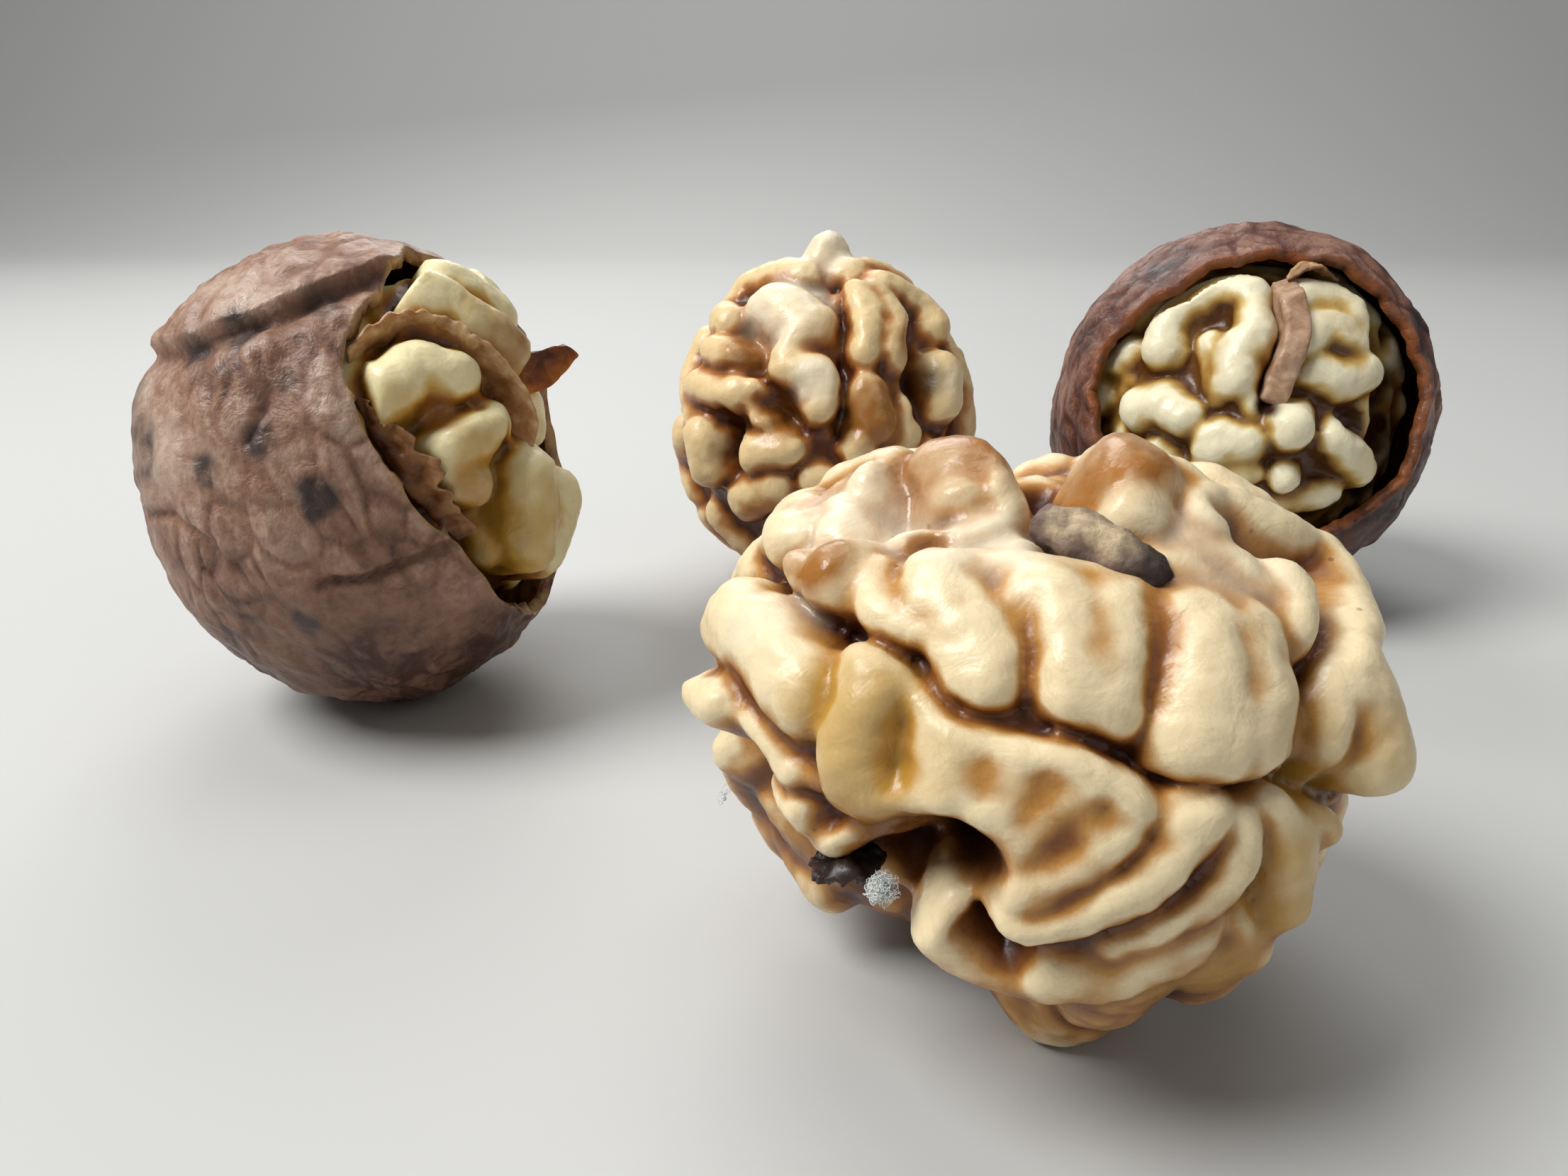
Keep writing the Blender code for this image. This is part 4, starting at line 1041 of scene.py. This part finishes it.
leftSeptum = {
    "name": "leftSeptumPaper", "nodes": ["left_septum"], "slot": "papery_skin", "seed": 3,
    "low": ((19, 39, -5), (28, 44, -5), (42, 47, -5), (54, 43, -5), (62, 35, -5), (68, 26, -5),
            (70, 16, -5), (66, 7, -5)),
    "high": ((19, 40, -0.8), (28, 45, -0.2), (42, 48, 0.2), (54, 44, 0.4), (62, 36, 0.6),
             (68, 27, 0.6), (70, 16, 0.2), (66, 7, -1)),
    "grid": (14, 90), "length": 30, "ragged": 0.5, "creaseSize": 2.0, "crease": 0.35, "wall": 0.25,
    "skin": paperSkin("leftSeptumSkin", "d9b98c", "a87a4c", "5a2f16"),
}
makeSheet("left", leftSeptum)

leftTorn = {
    "name": "leftSeptumTorn", "nodes": [], "slot": "papery_skin", "seed": 21,
    "low": ((19, 31, -2.0), (22, 23, -2.0), (26, 13, -2.0), (33, 3, -2.0), (42, -7, -2.0)),
    "high": ((25, 28, -0.9), (32, 21, -0.4), (35, 14, -0.9), (40, 5, -0.8), (48, -5, -1.6)),
    "grid": (16, 70), "length": 16, "ragged": 0.2, "torn": 0.8, "creaseSize": 2.2, "crease": 0.6,
    "wall": 0.2,
    "skin": paperSkin("leftTornSkin", "b58a5e", "85562f", "43230f"),
}
makeSheet("left", leftTorn)

leftShard = {
    "name": "leftShardAmber", "nodes": ["left_shard"], "slot": "amber_shard", "seed": 5,
    "low": ((74, 34, -3), (85, 32, 0), (96, 29, 2.2)),
    "high": ((74, 26, -3), (86, 23, -0.2), (99, 26, 2.4)),
    "grid": (14, 24), "length": 8, "ragged": 0.3, "creaseSize": 2.0, "crease": 0.3, "wall": 0.7,
    "skin": paperSkin("leftShardSkin", "c9781f", "8f4a12", "4a200a"),
}
makeSheet("left", leftShard)

rightSeptum = {
    "name": "rightSeptumBand", "nodes": ["right_septum"], "slot": "middle_wall", "seed": 7,
    "low": ((-7, 57, -6), (-6, 48, -6), (-4, 36, -6), (-7, 25, -6), (-11, 15, -6)),
    "high": ((-7, 57, -1.6), (-6, 48, -0.6), (-4, 36, -0.4), (-7, 25, -0.9), (-11, 15, -2.0)),
    "grid": (16, 50), "length": 14, "ragged": 0.5, "creaseSize": 3.0, "crease": 0.5, "wall": 2.3,
    "round": 0.2,
    "skin": paperSkin("rightSeptumSkin", "cdb094", "a27d60", "5c3a28"),
}
makeSheet("right", rightSeptum)

rightFlake = {
    "name": "rightSkinFlake", "nodes": ["right_skin_flake"], "slot": "papery_skin", "seed": 9,
    "low": ((-6, 53, -0.8), (8, 54, 0.2), (20, 52, -0.6)),
    "high": ((-3, 59, -1.8), (9, 61, -0.9), (20, 58, -1.8)),
    "grid": (10, 30), "length": 7, "ragged": 0.3, "creaseSize": 1.5, "crease": 0.3, "wall": 0.2,
    "skin": paperSkin("rightFlakeSkin", "e2cda4", "b99468", "6a4426"),
}
makeSheet("right", rightFlake)

frontScrap = {
    "name": "frontScrapShell", "nodes": ["front_shell_scrap"], "slot": "dark_scrap", "seed": 13,
    "low": ((-45, -6, -3.4), (-41, -6, -3.4), (-37, -5, -3.4), (-34, -6, -3.4)),
    "high": ((-45, -8, -1.2), (-41, -8, -0.6), (-37, -7, -0.6), (-34, -8, -1.2)),
    "grid": (16, 36), "length": 8, "ragged": 0.8, "creaseSize": 1.4, "crease": 0.5, "wall": 0.4,
    "skin": paperSkin("frontScrapSkin", "4a3a34", "241812", "0d0706"),
}
makeSheet("front", frontScrap)


# The grey-brown fragment in the top groove of the front kernel


def corkSkin(name):
    skin = Finish(name, IOR=1.45)
    # painted light and shade: the fragment is pale on its upper side and dark down its sides
    top = skin.mark("top") + (skin.grain(0.9, 4.0) - 0.5) * 0.6 - 0.22
    base = skin.ramp(top, (0.2, "3a2a25"), (0.5, "7d675a"), (0.75, "c9b48e"))
    base = skin.mix(skin.mark("end") * 0.9, base, "241a1a")
    rough = skin.band(skin.grain(0.5), 0.3, 0.7, 0.55, 0.8)
    normal = skin.bump(skin.grain(0.5, 4.0, 0.6, 0.3), 0.12)
    return skin.give(Base_Color=base, Roughness=rough, Normal=normal)


fragment = {
    "name": "frontFragmentCork", "radius": 1.35, "flat": 0.75, "lift": 1.0,
    "places": ((-7, 61), (3, 58), (11, 53)), "step": 0.4, "roundEnd": (0.98, 0.86, 0.65, 0.35),
    "voxel": 0.14, "rough": 0.3, "roughSize": 1.6,
}


def startCurve(thickness, resolution):
    bpy.ops.object.add(type="CURVE")
    curve = bpy.context.object
    curve.data.dimensions = "3D"
    curve.data.bevel_depth = thickness
    curve.data.bevel_resolution = resolution
    return curve


def curveToMesh(curve):
    activate(curve)
    bpy.ops.object.convert(target="MESH")
    return bpy.context.object


def fragmentRings():  # the middle of each ring of the bar and its share of the full radius
    radius, roundEnd = fragment["radius"], fragment["roundEnd"]
    spots = [place("front", *spot, fragment["lift"] - radius) for spot in fragment["places"]]
    line = curveThrough(spots, fragment["step"] * radius * mm)
    head = (line[0] - line[1]).normalized() * radius * mm
    tail = (line[-1] - line[-2]).normalized() * radius * mm
    rings = [(line[0] + head * s, math.sqrt(1 - s * s)) for s in roundEnd]
    rings += [(point, 1.0) for point in line]
    return rings + [(line[-1] + tail * s, math.sqrt(1 - s * s)) for s in reversed(roundEnd)]


def makeFragment():
    bar = startCurve(mm, 6)
    bar.data.use_fill_caps = True
    rings = fragmentRings()
    spline = bar.data.splines.new("POLY")
    spline.points.add(len(rings) - 1)
    for point, (spot, share) in zip(spline.points, rings):
        point.co = (*spot, 1.0)
        point.radius = fragment["radius"] * share
    bar = curveToMesh(bar)
    applyModifier(bar, "REMESH", mode="VOXEL", voxel_size=fragment["voxel"] * mm)
    points = pointsOf(bar)
    middle = fragment["places"][1]
    out = np.array(direction(*middle))
    heart = np.array(place("front", *middle, fragment["lift"] - fragment["radius"]))
    height = (points - heart) @ out
    points -= np.outer(height * (1 - fragment["flat"]), out)
    bumps = noiseAt(points, fragment["roughSize"] * mm, 4) * fragment["rough"] * mm
    points += normalsOf(bar) * bumps[:, None]
    setPoints(bar, points)
    start, end = (np.array(place("front", *fragment["places"][k])) for k in (0, -1))
    along = (points - start) @ (end - start) / ((end - start) @ (end - start))
    # painted light and shade: the mark grows with height across the bar
    keepMark(bar, "top", 0.5 + 0.4 * height / (fragment["radius"] * mm))
    keepMark(bar, "end", (along - 0.6) / 0.4)
    finishPiece(bar, fragment["name"], ["front_septum_fragment"], corkSkin("fragmentCork"))


makeFragment()

# White fluff caught under the left side of the front kernel

fluff = {
    "name": "frontFluffTuft", "strand": 0.018, "steps": 12, "curl": 1.3, "seed": 17,
    "tufts": (((-31, -7, -1.2), 0.75, 260), ((-58, 2, 0.3), 0.4, 9)),  # place, size in mm, strands
    "startBack": 0.5, "forward": 0.2, "inward": 0.08, "upright": 0.7,  # shares of the tuft's size
}


def makeFluff():
    dice = random.Random(fluff["seed"])
    hair = startCurve(fluff["strand"] * mm, 0)
    for spot, size, count in fluff["tufts"]:
        heart = place("front", *spot)
        for _ in range(count):
            way = Vector((dice.gauss(0, 1), dice.gauss(0, 1), dice.gauss(0, fluff["upright"]))).normalized()
            point = heart - way * size * fluff["startBack"] * mm
            strand = hair.data.splines.new("POLY")
            strand.points.add(fluff["steps"] - 1)
            for ring in strand.points:
                ring.co = (*point, 1.0)
                turn = Vector([dice.uniform(-1, 1) * fluff["curl"] for _ in range(3)])
                way = (way + turn).normalized()
                step = way * fluff["forward"] + (heart - point) / mm * fluff["inward"]
                point = point + step * size * mm
    hair = curveToMesh(hair)
    cotton = Finish("fluffCotton", Roughness=0.9, Subsurface_Weight=0.3, Subsurface_Scale=0.0005)
    base = cotton.mix(cotton.grain(0.5), "f4f4f0", "dcdcd6")
    finishPiece(hair, fluff["name"], [], cotton.give(Base_Color=base))


makeFluff()

# Floor, light and camera

print("stage: studio")

studio = {
    "floorSize": 1.8, "floorDepth": 1.1, "curveRadius": 0.4, "curveSteps": 24,
    "floorColour": "c4c4c1", "cloudColour": "b9b9b6", "cloud": 0.12, "cloudSize": 400,
    "worldColour": "c9ccd0", "worldStrength": 0.25,
    "cameraSpot": (-0.007, -0.088, 0.044), "pitch": 69.5, "lens": 26.0, "sensor": 36.0, "nearest": 0.005,
}
groupMiddle = (0, 0, 0)
lights = {  # power, size, place and what it is turned to
    "keyLight": (3.5, 0.32, (-0.34, -0.10, 0.46), groupMiddle),
    "fillLight": (0.5, 0.6, (0.5, -0.4, 0.4), groupMiddle),
    "rimLight": (1.2, 0.4, (-0.1, 0.5, 0.4), groupMiddle),
    "wallLight": (2.6, 0.7, (0, 0.25, 0.85), (0, 0.9, 0.15)),
}


def makeFloor():  # a plane whose far edge curves up into a wall
    bpy.ops.mesh.primitive_plane_add(size=studio["floorSize"])
    floor = bpy.context.object
    floor.name = "studioFloor"
    deselectMesh()
    for edge in floor.data.edges:
        edge.select = all(floor.data.vertices[k].co.y > 0 for k in edge.vertices)
    bpy.ops.object.mode_set(mode="EDIT")
    bpy.ops.mesh.select_mode(type="EDGE")
    bpy.ops.mesh.extrude_region_move(TRANSFORM_OT_translate={"value": (0, 0, studio["floorDepth"])})
    bpy.ops.mesh.select_all(action="SELECT")
    bpy.ops.mesh.normals_make_consistent(inside=False)
    bpy.ops.object.mode_set(mode="OBJECT")
    curve = {"width": studio["curveRadius"], "segments": studio["curveSteps"], "limit_method": "ANGLE"}
    applyModifier(floor, "BEVEL", **curve)
    floor.data.shade_smooth()
    paint = Finish("studioPaint", Roughness=0.6)
    cloud = paint.grain(studio["cloudSize"], 2.0) * studio["cloud"]
    base = paint.mix(cloud, studio["floorColour"], studio["cloudColour"])
    floor.data.materials.append(paint.give(Base_Color=base))


def addLight(name, power, size, spot, target):
    data = bpy.data.lights.new(name, "AREA")
    data.shape = "DISK"
    data.energy = power
    data.size = size
    lamp = bpy.data.objects.new(name, data)
    bpy.context.scene.collection.objects.link(lamp)
    lamp.location = spot
    lamp.rotation_euler = (Vector(target) - Vector(spot)).to_track_quat("-Z", "Y").to_euler()


def addWorld():
    world = bpy.data.worlds.new("softRoom")
    world.use_nodes = True
    sky = world.node_tree.nodes["Background"].inputs
    sky["Color"].default_value = fromHex(studio["worldColour"])
    sky["Strength"].default_value = studio["worldStrength"]
    bpy.context.scene.world = world


def addCamera():
    data = bpy.data.cameras.new("camera")
    data.lens = studio["lens"]
    data.sensor_width = studio["sensor"]
    data.clip_start = studio["nearest"]
    camera = bpy.data.objects.new("camera", data)
    bpy.context.scene.collection.objects.link(camera)
    camera.location = studio["cameraSpot"]
    camera.rotation_euler = (math.radians(studio["pitch"]), 0, 0)
    bpy.context.scene.camera = camera


makeFloor()
for name, light in lights.items():
    addLight(name, *light)
addWorld()
addCamera()
bpy.context.scene.view_settings.view_transform = "Standard"
